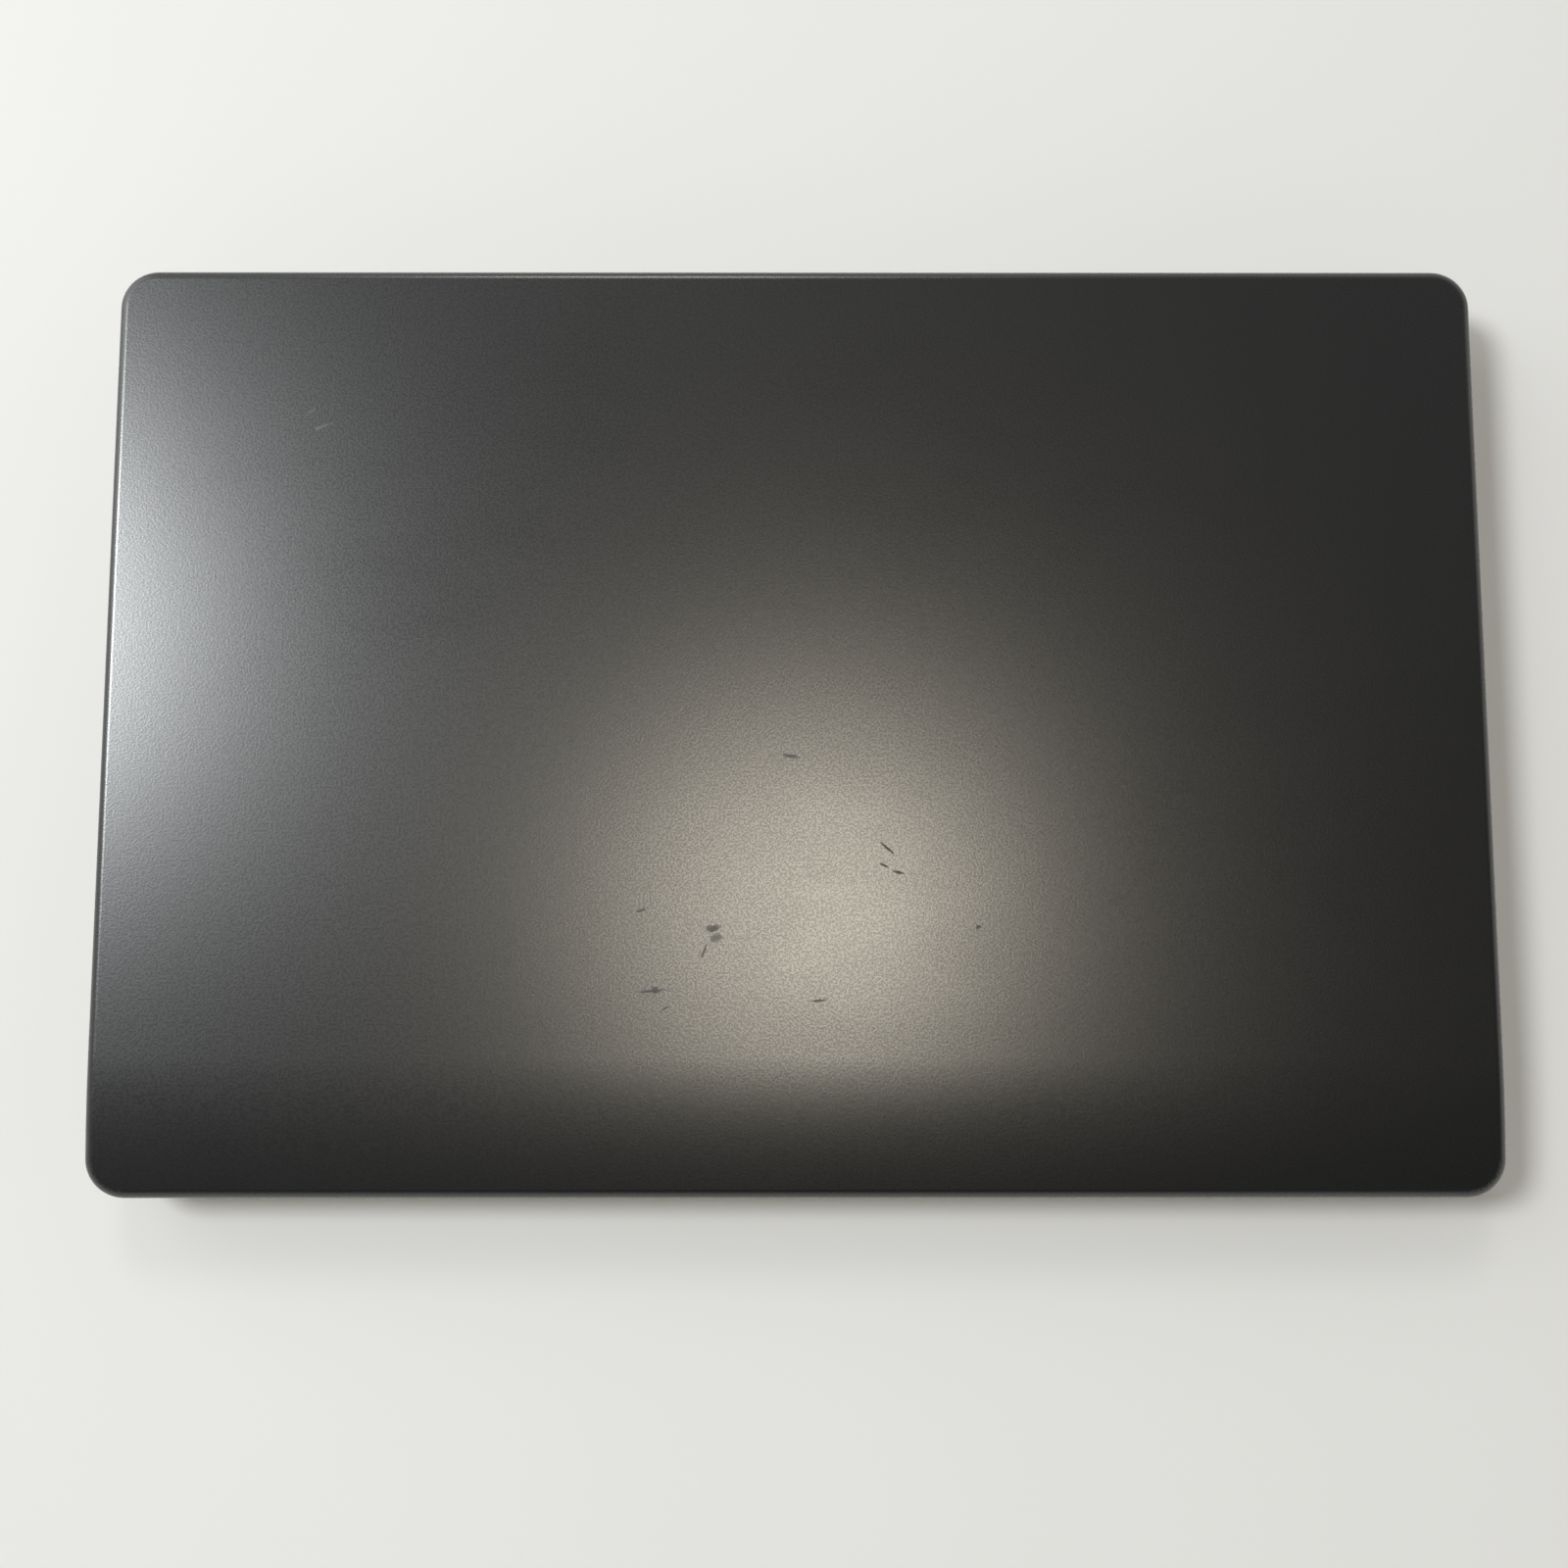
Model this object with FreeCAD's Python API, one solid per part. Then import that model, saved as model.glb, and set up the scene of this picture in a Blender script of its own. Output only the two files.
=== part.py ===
import FreeCAD, Part
import math
import os
from FreeCAD import Vector

# Laptop computer, closed, standing on its rubber feet.
# X runs along the width, Y from the front edge to the hinge edge, Z up.
# The origin is under the middle of the lid, on the surface that the feet stand on.
# All sizes are in millimetres.

# Overall sizes
lid_width = 323.0
lid_depth = 218.0
lid_thickness = 6.0
lid_corner_radius = 9.0
base_height = 13.2
foot_height = 1.4
closing_gap = 0.4
base_inset = 0.5

# Lid shell and screen
lid_edge_round = 2.4
lid_rim_chamfer = 0.3
lid_front_roll = 32.0
lid_front_drop = 1.8
lid_front_skin = 1.0
lid_wall = 1.6
lid_skin = 1.5
bezel_thickness = 1.2
bezel_bevel = 0.7
screen_side_border = 6.8
screen_top_border = 10.5
screen_chin = 33.6
panel_side_edge = 3.2
panel_top_edge = 3.5
panel_chin_edge = 8.5
panel_thickness = 2.6
panel_tape_width = 8.0
panel_tape_length = 150.0
panel_tape_from_edge = 34.0
driver_board_depth = 9.0
driver_board_thickness = 0.8
bumper_radius = 2.0
bumper_from_corner = 12.0
antenna_length = 46.0
antenna_width = 4.0
antenna_thickness = 0.6
antenna_from_middle = 84.0

# Camera and its sliding shutter
camera_board_length = 68.0
camera_board_width = 4.4
camera_board_thickness = 0.8
camera_barrel_radius = 1.9
camera_window_radius = 1.5
shutter_length = 17.0
shutter_width = 3.4
shutter_thickness = 0.45
shutter_from_lens = 2.4
shutter_tab_length = 4.0
shutter_tab_width = 1.4
shutter_tab_from_end = 2.6
shutter_travel = 6.0

# Base shell
base_wall = 1.8
base_bevel = 2.6
base_inner_bevel = 2.0
deck_thickness = 1.3
deck_edge_bevel = 0.4
finger_scoop_radius = 200.0
finger_scoop_depth = 1.2
deck_thread = 0.8
cover_thickness = 1.4
cover_rib_height = 0.6
cover_rib_width = 1.0
cover_rib_pitch = 20.0
cover_rib_margin = 6.0
screw_boss_radius = 2.6
screw_web_thickness = 1.2
screw_shank_radius = 0.85
screw_head_radius = 1.9
screw_head_height = 0.8
screw_length = 5.0
screw_from_side = 6.5
screw_from_front = 6.0
screw_edge_bevel = 0.2
cross_share = 0.55
cross_width = 0.45
cross_depth = 0.4
screw_past_card = 17.2
foot_length = 38.0
foot_width = 8.0
foot_seat = 0.4
foot_edge_round = 0.5
foot_from_side = 34.0
foot_from_edge = 9.5

# Hinges
hinge_drop = 4.1
hinge_opening = 135.0
hinge_notch_length = 40.0
hinge_notch_from_side = 21.0
hinge_notch_gap = 0.4
hinge_notch_wall = 1.2
hinge_shaft_radius = 1.5
hinge_eye_radius = 2.5
hinge_plate_thickness = 1.0
hinge_eye_thickness = 2.0
hinge_base_plate_length = 24.0
hinge_base_plate_depth = 15.0
hinge_lid_plate_depth = 16.0
hinge_cap_wall = 1.0
hinge_ear_thickness = 1.2
hinge_ear_inset = 4.0
hinge_washer_radius = 2.3
hinge_washer_thickness = 0.5
hinge_washer_count = 4
hinge_rivet_radius = 2.1
hinge_rivet_height = 1.2
hinge_screw_radius = 0.8
hinge_screw_head_radius = 1.5
hinge_screw_head_height = 0.6

# Keyboard
key_pitch_y = 18.05
key_gap = 3.0
key_corner_radius = 1.3
key_draft = 0.55
key_height = 2.2
key_dish = 0.15
key_roof = 0.9
key_wall = 0.9
key_below_deck = 0.2
key_travel = 1.5
function_row_pitch = 12.0
keyboard_side_margin = 18.6
keyboard_from_hinge = 18.5
keyboard_border = 1.6
lattice_thickness = 1.0
lattice_flange = 1.4
lattice_skirt = 1.2
keyboard_plate_thickness = 0.6
membrane_thickness = 0.3
membrane_room = 0.2
dome_height = 1.2
dome_radius = 2.6
dome_taper = 0.55
key_clearance = 0.4

# Touchpad, its buttons and the power button
touchpad_width = 99.5
touchpad_left_of_middle = 9.5
touchpad_from_keyboard = 12.0
touchpad_from_front = 9.0
touchpad_thickness = 1.4
touchpad_recess = 0.3
touchpad_flange = 2.5
touchpad_flange_thickness = 0.7
touchpad_corner_radius = 2.0
click_button_depth = 14.0
click_button_height = 1.5
click_button_travel = 0.6
click_gap = 0.6
bracket_room = 0.4
bracket_thickness = 0.6
bracket_wall = 1.0
power_button_width = 14.0
power_button_depth = 6.0
power_button_height = 2.0
power_button_travel = 0.5
power_button_from_hinge = 11.2
power_board_thickness = 0.6

# Main board and what is on it
board_thickness = 1.0
board_below_keyboard = 1.0
standoff_radius = 2.0
board_from_hinge = 7.5
board_battery_gap = 2.2
board_fan_gap = 7.9
board_finger_depth = 35.0
port_zone = 14.5
processor_width = 40.0
processor_depth = 24.0
processor_height = 1.2
processor_x = -30.0
processor_from_hinge = 38.5
cold_plate_width = 46.0
cold_plate_depth = 30.0
cold_plate_thickness = 1.2
cold_plate_ear_radius = 3.0
cold_plate_post_radius = 1.6
memory_length = 67.6
memory_depth = 30.0
memory_thickness = 1.2
memory_chip_height = 0.9
memory_chip_count = 4
memory_chip_share = 0.8
memory_from_edge = 76.5
memory_from_hinge = 118.0
memory_spacing = 33.0
socket_depth = 5.0
socket_height = 1.6
ssd_length = 80.0
ssd_width = 22.0
ssd_thickness = 0.8
ssd_chip_height = 1.2
ssd_stud_radius = 2.75
ssd_chip_share = 0.7
ssd_chip_places = (0.25, 0.5, 0.78)
ssd_x = -31.0
ssd_from_hinge = 107.0
wireless_length = 30.0
wireless_width = 22.0
wireless_border = 2.0
wireless_x = 40.0
wireless_from_hinge = 24.0
coin_cell_radius = 10.0
coin_cell_height = 2.6
coin_cell_from_edge = 48.5
coin_cell_from_hinge = 28.0

# Cooling
fan_width = 53.0
fan_from_hinge = 75.0
fan_shell = 0.8
fan_room = 0.4
fan_inlet_radius = 17.0
fan_rotor_radius = 23.0
fan_hub_radius = 11.0
fan_hub_wall = 1.0
fan_blade_thickness = 0.5
fan_blade_count = 27
fan_blade_sweep = 34.0
fan_blade_bow = 0.3
fan_axle_radius = 1.2
fan_running_gap = 0.7
fin_stack_depth = 40.0
fin_stack_width = 10.0
fin_count = 20
fin_thickness = 0.4
fin_plate_thickness = 0.5
heat_pipe_width = 8.0
heat_pipe_thickness = 2.0
heat_pipe_bend = 9.0
heat_pipe_edge = 0.9
vent_slot_width = 1.6
vent_slot_pitch = 3.2
vent_slot_count = 12
intake_slot_width = 2.0
intake_slot_pitch = 4.0
intake_slot_count = 11

# Battery and speakers
battery_speaker_gap = 5.4
battery_cells = 3
battery_from_front = 7.0
battery_cell_gap = 2.0
battery_frame_height = 1.2
battery_room = 0.6
speaker_width = 34.0
speaker_depth = 26.0
speaker_from_front = 12.0
speaker_cone_radius = 8.0
speaker_slot_count = 6
speaker_slot_length = 20.0
speaker_slot_width = 1.4
speaker_slot_pitch = 3.0

# Ports, each measured forward from the hinge line
port_wall_gap = 0.15
port_face_inset = 0.25
port_shell = 0.5
tongue_share = 0.82
power_jack_from_hinge = 17.0
power_jack_body = 8.0
power_jack_bore_radius = 2.3
power_jack_pin_radius = 0.5
usb_c_from_hinge = 27.0
usb_c_width = 8.4
usb_c_height = 2.6
usb_c_tongue = 0.7
left_usb_from_hinge = 40.5
right_usb_from_hinge = 70.0
front_usb_from_hinge = 88.0
usb_width = 12.5
usb_height = 4.7
usb_tongue = 1.8
hdmi_from_hinge = 54.0
hdmi_width = 14.0
hdmi_height = 4.6
hdmi_tongue = 1.9
network_from_hinge = 36.0
network_width = 11.8
network_height = 6.8
network_latch_width = 6.0
network_latch_height = 1.2
headphone_from_hinge = 103.0
headphone_bore_radius = 1.78
headphone_body_width = 7.0
headphone_body_height = 5.6
card_slot_from_hinge = 117.0
card_slot_width = 11.6
card_slot_height = 1.5
lock_from_hinge = 20.0
lock_slot_width = 7.0
lock_slot_height = 3.0
lock_plate_width = 12.0
lock_plate_height = 7.0
lock_plate_thickness = 1.5
status_light_x = -70.0
status_light_width = 5.0
status_light_height = 1.2
status_light_depth = 6.0
status_light_flange = 1.0

# Display cable
cable_radius = 1.1
cable_bend = 2.5
cable_hole_gap = 0.3
cable_joint_gap = 0.1
plug_length = 12.0
plug_width = 5.0
plug_height = 3.2

# Clearances
seat_gap = 0.1
running_gap = 0.05
slide_gap = 0.2

# Places that follow from the sizes
base_bottom_z = foot_height
deck_z = base_bottom_z + base_height
deck_under_z = deck_z - deck_thickness
cover_top_z = base_bottom_z + cover_thickness
lid_bottom_z = deck_z + closing_gap
lid_top_z = lid_bottom_z + lid_thickness
lid_inner_z = lid_top_z - lid_skin
hinge_z = deck_z - hinge_drop
hinge_y = lid_depth / 2 - closing_gap - hinge_drop
base_half_width = lid_width / 2 - base_inset
base_front_y = base_inset - lid_depth / 2
base_rear_y = hinge_y + hinge_drop
base_corner_radius = lid_corner_radius - base_inset
bezel_top_z = lid_bottom_z + bezel_thickness
panel_back_z = bezel_top_z + panel_thickness
screen_x = (screen_side_border - lid_width / 2, lid_width / 2 - screen_side_border)
screen_y = (screen_top_border - lid_depth / 2, lid_depth / 2 - screen_chin)
panel_x = (screen_x[0] - panel_side_edge, screen_x[1] + panel_side_edge)
panel_y = (screen_y[0] - panel_top_edge, screen_y[1] + panel_chin_edge)
lid_pocket_x = (lid_wall - lid_width / 2, lid_width / 2 - lid_wall)
lid_pocket_y = (lid_wall - lid_depth / 2, lid_depth / 2 - lid_wall)
camera_y = (lid_pocket_y[0] + panel_y[0]) / 2
notch_outer_x = base_half_width - hinge_notch_from_side
notch_inner_x = notch_outer_x - hinge_notch_length
key_units = 15.0
key_pitch_x = (lid_width - 2 * keyboard_side_margin) / key_units
keyboard_rear_y = hinge_y - keyboard_from_hinge
keyboard_front_y = keyboard_rear_y - function_row_pitch - 5 * key_pitch_y
key_top_z = deck_z - key_below_deck
key_bottom_z = key_top_z - key_height
lattice_low_z = deck_under_z - lattice_thickness
membrane_top_z = key_bottom_z - key_travel - membrane_room
keyboard_plate_top_z = membrane_top_z - membrane_thickness
keyboard_plate_low_z = keyboard_plate_top_z - keyboard_plate_thickness
board_top_z = keyboard_plate_low_z - board_below_keyboard
board_low_z = board_top_z - board_thickness
port_z = (base_bottom_z + base_bevel + deck_under_z) / 2
touchpad_x = (-touchpad_left_of_middle - touchpad_width / 2, touchpad_width / 2 - touchpad_left_of_middle)
click_front_y = base_front_y + touchpad_from_front
touchpad_y = (click_front_y + click_button_depth + click_gap, keyboard_front_y - touchpad_from_keyboard)
touchpad_top_z = deck_z - touchpad_recess
click_low_z = touchpad_top_z - click_button_height
bracket_top_z = click_low_z - click_button_travel - bracket_room
power_button_x = key_units * key_pitch_x / 2 - power_button_width / 2
power_button_y = hinge_y - power_button_from_hinge


def box(x, y, z):
    return Part.makeBox(x[1] - x[0], y[1] - y[0], z[1] - z[0], Vector(x[0], y[0], z[0]))


def around(middle, size):
    return (middle - size / 2, middle + size / 2)


def grown(span, margin):
    return (span[0] - margin, span[1] + margin)


def rounded_wire(x, y, radius, z):
    corners = [(x[1] - radius, y[1] - radius), (x[0] + radius, y[1] - radius),
               (x[0] + radius, y[0] + radius), (x[1] - radius, y[0] + radius)]
    arcs = [Part.makeCircle(radius, Vector(cx, cy, z), Vector(0, 0, 1), 90 * turn, 90 * turn + 90)
            for turn, (cx, cy) in enumerate(corners)]
    edges = []
    for arc, following in zip(arcs, arcs[1:] + arcs[:1]):
        edges.append(arc)
        start = arc.valueAt(arc.LastParameter)
        end = following.valueAt(following.FirstParameter)
        if start.distanceToPoint(end) > 1e-6:
            edges.append(Part.makeLine(start, end))
    return Part.Wire(edges)


def rounded_plate(x, y, radius, z):
    face = Part.Face(rounded_wire(x, y, radius, z[0]))
    return face.extrude(Vector(0, 0, z[1] - z[0]))


def rounded_bar(x, y, z, radius):
    """A bar along X whose section in Y and Z has rounded corners."""
    bar = rounded_plate(y, z, radius, x)
    bar.rotate(Vector(0, 0, 0), Vector(1, 1, 1), 120)
    return bar


def rod_x(radius, x, y, z):
    return Part.makeCylinder(radius, x[1] - x[0], Vector(x[0], y, z), Vector(1, 0, 0))


def rod_z(radius, z, x, y):
    return Part.makeCylinder(radius, z[1] - z[0], Vector(x, y, z[0]))


def polygon_prism(points, direction):
    return Part.Face(Part.makePolygon(points + points[:1])).extrude(direction)


def joined(*shapes):
    return shapes[0].fuse(list(shapes[1:])).removeSplitter()


def edges_at(shape, z):
    return [e for e in shape.Edges if all(abs(v.Z - z) < 1e-6 for v in e.Vertexes)]


def mirrored(shape):
    return shape.mirror(Vector(0, 0, 0), Vector(1, 0, 0))


def side_span(side, inset, depth):
    """X span that starts at the base's side face, less an inset, and runs inwards."""
    outer = side * (base_half_width - inset)
    return tuple(sorted((outer, outer - side * depth)))


# Base shell: flat deck and bottom, a barrel round the hinge line and a slope under it
# The slope is parallel to the lid where it stands fully open.
def base_section(radius, z, front_y):
    slope_start = math.radians(90 - hinge_opening)
    at = lambda angle: Vector(0, hinge_y + radius * math.cos(angle), hinge_z + radius * math.sin(angle))
    tangent = at(slope_start)
    run = (tangent.z - z[0]) / math.cos(slope_start)
    foot = Vector(0, tangent.y + run * math.sin(slope_start), z[0])
    top = at(math.pi / 2)
    middle = at((slope_start + math.pi / 2) / 2)
    edges = [Part.Arc(tangent, middle, top).toShape(),
             Part.makeLine(top, Vector(0, front_y, top.z)),
             Part.makeLine(Vector(0, front_y, top.z), Vector(0, front_y, z[0])),
             Part.makeLine(Vector(0, front_y, z[0]), foot),
             Part.makeLine(foot, tangent)]
    face = Part.Face(Part.Wire(edges))
    face.translate(Vector(-base_half_width, 0, 0))
    return face.extrude(Vector(2 * base_half_width, 0, 0))


def base_solid(inset, z, rear_inset, bevel, top_bevel=0.0):
    x = (inset - base_half_width, base_half_width - inset)
    y = (base_front_y + inset, base_rear_y - rear_inset)
    plan = rounded_plate(x, y, base_corner_radius - inset, z)
    plan = plan.makeChamfer(bevel, edges_at(plan, z[0]))
    if top_bevel:
        plan = plan.makeChamfer(top_bevel, edges_at(plan, z[1]))
    return plan.common(base_section(hinge_drop - rear_inset, z, base_front_y))


# Room for a hinge cap to turn in, cut into the rear of the base
def hinge_notch(wall):
    x = (notch_inner_x - wall, notch_outer_x + wall)
    radius = hinge_drop + hinge_notch_gap + wall
    rear = base_rear_y + hinge_drop
    above = box(x, (hinge_y - radius, rear), (hinge_z, lid_bottom_z))
    turn = math.radians(hinge_opening)
    start = Vector(x[0], hinge_y + radius * math.cos(turn), hinge_z - radius * math.sin(turn))
    end = start + Vector(0, math.sin(turn), math.cos(turn)) * (2 * base_height)
    below = polygon_prism([Vector(x[0], hinge_y, hinge_z), start, end, Vector(x[0], end.y, hinge_z)],
                          Vector(x[1] - x[0], 0, 0))
    right = joined(above, below, rod_x(radius, x, hinge_y, hinge_z))
    return [right, mirrored(right)]


def base_shell():
    outer = base_solid(0, (base_bottom_z, deck_z), 0, base_bevel, deck_edge_bevel)
    hollow = base_solid(base_wall, (cover_top_z, deck_under_z), deck_thickness, base_inner_bevel)
    hollow = hollow.cut(hinge_notch(hinge_notch_wall))
    return outer.cut([hollow] + hinge_notch(0))


def base_layer(z):
    everywhere = box(grown((-base_half_width, base_half_width), 1), grown((base_front_y, base_rear_y), 1), z)
    return base_shell().common(everywhere)


def screw_places():
    x = base_half_width - screw_from_side
    front = base_front_y + screw_from_front
    rear = hinge_y - hinge_drop - hinge_notch_gap - hinge_notch_wall - screw_boss_radius
    middle = hinge_y - card_slot_from_hinge - screw_past_card
    inner = notch_inner_x / 2
    right = [(x, front), (inner, front), (x, middle), (x, rear)]
    return right + [(-px, py) for px, py in right]


# Openings in the side walls, as blocks that reach from inside the base to past its face
def port_cut(side, from_hinge, width, height, z=None):
    x = side_span(side, -1, base_wall + 2)
    middle = port_z if z is None else z
    return box(x, around(hinge_y - from_hinge, width + 2 * port_wall_gap),
               around(middle, height + 2 * port_wall_gap))


def port_round_cut(side, from_hinge, radius):
    return rod_x(radius, side_span(side, -1, base_wall + 2), hinge_y - from_hinge, port_z)


def vent_cuts():
    x = side_span(-1, -1, base_wall + 2)
    first = hinge_y - fan_from_hinge - (vent_slot_count - 1) * vent_slot_pitch / 2
    z = (cover_top_z + base_inner_bevel + vent_slot_width, keyboard_plate_low_z)
    return [box(x, around(first + n * vent_slot_pitch, vent_slot_width), z) for n in range(vent_slot_count)]


def screw_bosses():
    """A post for each screw, with a web that ties it to the nearest wall."""
    z = (cover_top_z, deck_under_z)
    outer = base_solid(0, (base_bottom_z, deck_z), 0, base_bevel)
    wall_x = base_half_width - base_wall / 2
    wall_y = base_front_y + base_wall / 2
    bosses = []
    for x, y in screw_places():
        if abs(x) > notch_outer_x:
            web = box(tuple(sorted((x, math.copysign(wall_x, x)))), around(y, screw_web_thickness), z)
        else:
            web = box(around(x, screw_web_thickness), (wall_y, y), z)
        bosses.append(joined(rod_z(screw_boss_radius, z, x, y), web).common(outer))
    return bosses


def chassis_frame():
    frame = joined(base_layer((cover_top_z, deck_under_z)), *screw_bosses())
    threads = [rod_z(screw_shank_radius + running_gap, (cover_top_z, base_bottom_z + screw_length + 1), x, y)
               for x, y in screw_places()]
    usb_out = 2 * port_shell
    cuts = [
        network_cut(),
        port_cut(1, hdmi_from_hinge, hdmi_width + usb_out, hdmi_height + usb_out),
        port_cut(1, right_usb_from_hinge, usb_width + usb_out, usb_height + usb_out),
        port_cut(1, front_usb_from_hinge, usb_width + usb_out, usb_height + usb_out),
        port_cut(-1, left_usb_from_hinge, usb_width + usb_out, usb_height + usb_out),
        port_cut(1, card_slot_from_hinge, card_slot_width, card_slot_height),
        port_cut(1, lock_from_hinge, lock_slot_width, lock_slot_height),
        port_cut(-1, usb_c_from_hinge, usb_c_width + usb_out, usb_c_height + usb_out),
        port_cut(-1, power_jack_from_hinge, power_jack_body, power_jack_body),
        port_round_cut(1, headphone_from_hinge, headphone_body_height / 2 + port_wall_gap),
    ]
    light = box(around(status_light_x, status_light_width + 2 * port_wall_gap),
                (base_front_y - 1, base_front_y + base_wall + 1),
                around(port_z, status_light_height + 2 * port_wall_gap))
    shaft_x = (notch_inner_x - hinge_notch_wall - 1, notch_inner_x + 1)
    shaft_hole = rod_x(hinge_shaft_radius + slide_gap, shaft_x, hinge_y, hinge_z)
    cable_x = (-notch_outer_x - hinge_notch_wall - 1, 1 - notch_outer_x)
    cable_hole = rod_x(cable_radius + cable_hole_gap, cable_x, hinge_y, hinge_z)
    return frame.cut(cuts + threads + vent_cuts() + [light, shaft_hole, mirrored(shaft_hole), cable_hole])


def feet_places():
    x = base_half_width - foot_from_side
    front = base_front_y + foot_from_edge
    rear = hinge_y - hinge_drop - foot_from_edge
    return [(x, front), (x, rear), (-x, front), (-x, rear)]


def fan_middle():
    x = -(base_half_width - base_wall - seat_gap - fin_stack_width - slide_gap - fan_width / 2)
    return x, hinge_y - fan_from_hinge


def bottom_cover():
    cover = base_layer((base_bottom_z, cover_top_z))
    through = (base_bottom_z - 1, cover_top_z + 1)
    cuts = []
    for x, y in screw_places():
        cuts.append(rod_z(screw_shank_radius + slide_gap, through, x, y))
        cuts.append(rod_z(screw_head_radius + slide_gap, (0, base_bottom_z + screw_head_height), x, y))
    for x, y in feet_places():
        seat = (base_bottom_z - 1, base_bottom_z + foot_seat)
        cuts.append(rounded_plate(around(x, foot_length + 2 * seat_gap), around(y, foot_width + 2 * seat_gap),
                                  foot_width / 2, seat))
    fan_x, fan_y = fan_middle()
    first = fan_y - (intake_slot_count - 1) * intake_slot_pitch / 2
    for n in range(intake_slot_count):
        y = first + n * intake_slot_pitch
        reach = 2 * math.sqrt((intake_slot_count * intake_slot_pitch / 2) ** 2 - (y - fan_y) ** 2)
        cuts.append(rounded_plate(around(fan_x, reach), around(y, intake_slot_width),
                                  intake_slot_width / 2, through))
    for side in (1, -1):
        x, y = speaker_middle(side)
        start = y - (speaker_slot_count - 1) * speaker_slot_pitch / 2
        for n in range(speaker_slot_count):
            slot_y = start + n * speaker_slot_pitch
            cuts.append(rounded_plate(around(x, speaker_slot_length), around(slot_y, speaker_slot_width),
                                      speaker_slot_width / 2, through))
    return joined(cover.cut(cuts), *cover_ribs())


def cover_ribs():
    """Low grid inside the cover that stiffens it under the memory and the sockets."""
    x = (cold_plate_spans()[0][1] + cover_rib_margin, right_edge() - cover_rib_margin)
    y = (battery_spans()[1][1] + cover_rib_margin, keyboard_rear_y)
    z = (cover_top_z, cover_top_z + cover_rib_height)
    along = [box(x, around(y[0] + n * cover_rib_pitch, cover_rib_width), z)
             for n in range(int((y[1] - y[0]) / cover_rib_pitch) + 1)]
    across = [box(around(x[0] + n * cover_rib_pitch, cover_rib_width), y, z)
              for n in range(int((x[1] - x[0]) / cover_rib_pitch) + 1)]
    return along + across


def rubber_feet():
    feet = []
    for x, y in feet_places():
        foot = rounded_plate(around(x, foot_length), around(y, foot_width), foot_width / 2 - seat_gap,
                             (0, base_bottom_z + foot_seat))
        feet.append(foot.makeFillet(foot_edge_round, edges_at(foot, 0)))
    return Part.makeCompound(feet)


def crossed_screw(x, y, z, head_radius, head_height, shank_radius):
    """Screw that points up, with a bevelled head and a cross recess in it."""
    head = rod_z(head_radius, (z[0], z[0] + head_height), x, y)
    head = head.makeChamfer(screw_edge_bevel, edges_at(head, z[0]))
    recess_z = (z[0] - 1, z[0] + cross_depth)
    reach = 2 * head_radius * cross_share
    recess = [box(around(x, reach), around(y, cross_width), recess_z),
              box(around(x, cross_width), around(y, reach), recess_z)]
    return joined(head, rod_z(shank_radius, z, x, y)).cut(recess)


def bottom_screws():
    z = (base_bottom_z + slide_gap, base_bottom_z + screw_length)
    return Part.makeCompound([crossed_screw(x, y, z, screw_head_radius, screw_head_height - slide_gap,
                                            screw_shank_radius) for x, y in screw_places()])


# Deck with its windows
def keyboard_window():
    half = key_units * key_pitch_x / 2 + keyboard_border
    return (-half, half), (keyboard_front_y - keyboard_border, keyboard_rear_y + keyboard_border)


def click_window():
    return touchpad_x, (click_front_y, touchpad_y[0])


def palmrest_cover():
    deck = base_layer((deck_under_z, deck_z))
    through = (deck_under_z - 1, deck_z + 1)
    keys_x, keys_y = keyboard_window()
    pad_y = (click_front_y, touchpad_y[1])
    cuts = [
        rounded_plate(keys_x, keys_y, touchpad_corner_radius, through),
        rounded_plate(grown(touchpad_x, seat_gap), grown(pad_y, seat_gap), touchpad_corner_radius, through),
        rounded_plate(around(power_button_x, power_button_width + 2 * slide_gap),
                      around(power_button_y, power_button_depth + 2 * slide_gap),
                      touchpad_corner_radius, through),
    ]
    scoop_y = base_front_y + finger_scoop_depth - finger_scoop_radius
    cuts.append(rod_z(finger_scoop_radius, through, 0, scoop_y))
    for x, y in base_screw_places():
        hole = rod_z(hinge_screw_radius + running_gap, (deck_under_z - 1, deck_under_z + deck_thread), x, y)
        cuts += [hole, mirrored(hole)]
    return deck.cut(cuts)


# Keyboard rows, each a list of key widths in units, from the rear row to the front row
arrow_unit = 3.25 / 3
key_rows = [
    ("function_row_keys", [15 / 16] * 16),
    ("number_row_keys", [1] * 13 + [2]),
    ("upper_letter_keys", [1.5] + [1] * 12 + [1.5]),
    ("home_letter_keys", [1.75] + [1] * 11 + [2.25]),
    ("lower_letter_keys", [2.25] + [1] * 10 + [2.75]),
    ("modifier_keys", [1.25, 1, 1, 1, 5.25, 1, 1.25] + [arrow_unit] * 3),
]
space_place = ("modifier_keys", 4)


def key_spans():
    """Every key as (node name, x span, y span) of its foot."""
    found = []
    y = keyboard_rear_y
    for row, (node, units) in enumerate(key_rows):
        pitch = key_pitch_y if row else function_row_pitch
        row_y = (y - pitch + key_gap / 2, y - key_gap / 2)
        x = -key_units * key_pitch_x / 2
        for place, unit in enumerate(units):
            key_x = (x + key_gap / 2, x + unit * key_pitch_x - key_gap / 2)
            name = "space_bar" if (node, place) == space_place else node
            if unit == arrow_unit:
                middle = (row_y[0] + row_y[1]) / 2
                found.append(("arrow_keys", key_x, (middle + key_clearance, row_y[1])))
                found.append(("arrow_keys", key_x, (row_y[0], middle - key_clearance)))
            else:
                found.append((name, key_x, row_y))
            x += unit * key_pitch_x
        y -= pitch
    return found


def key_room(span):
    return grown(span, -key_draft - key_wall)


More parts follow.
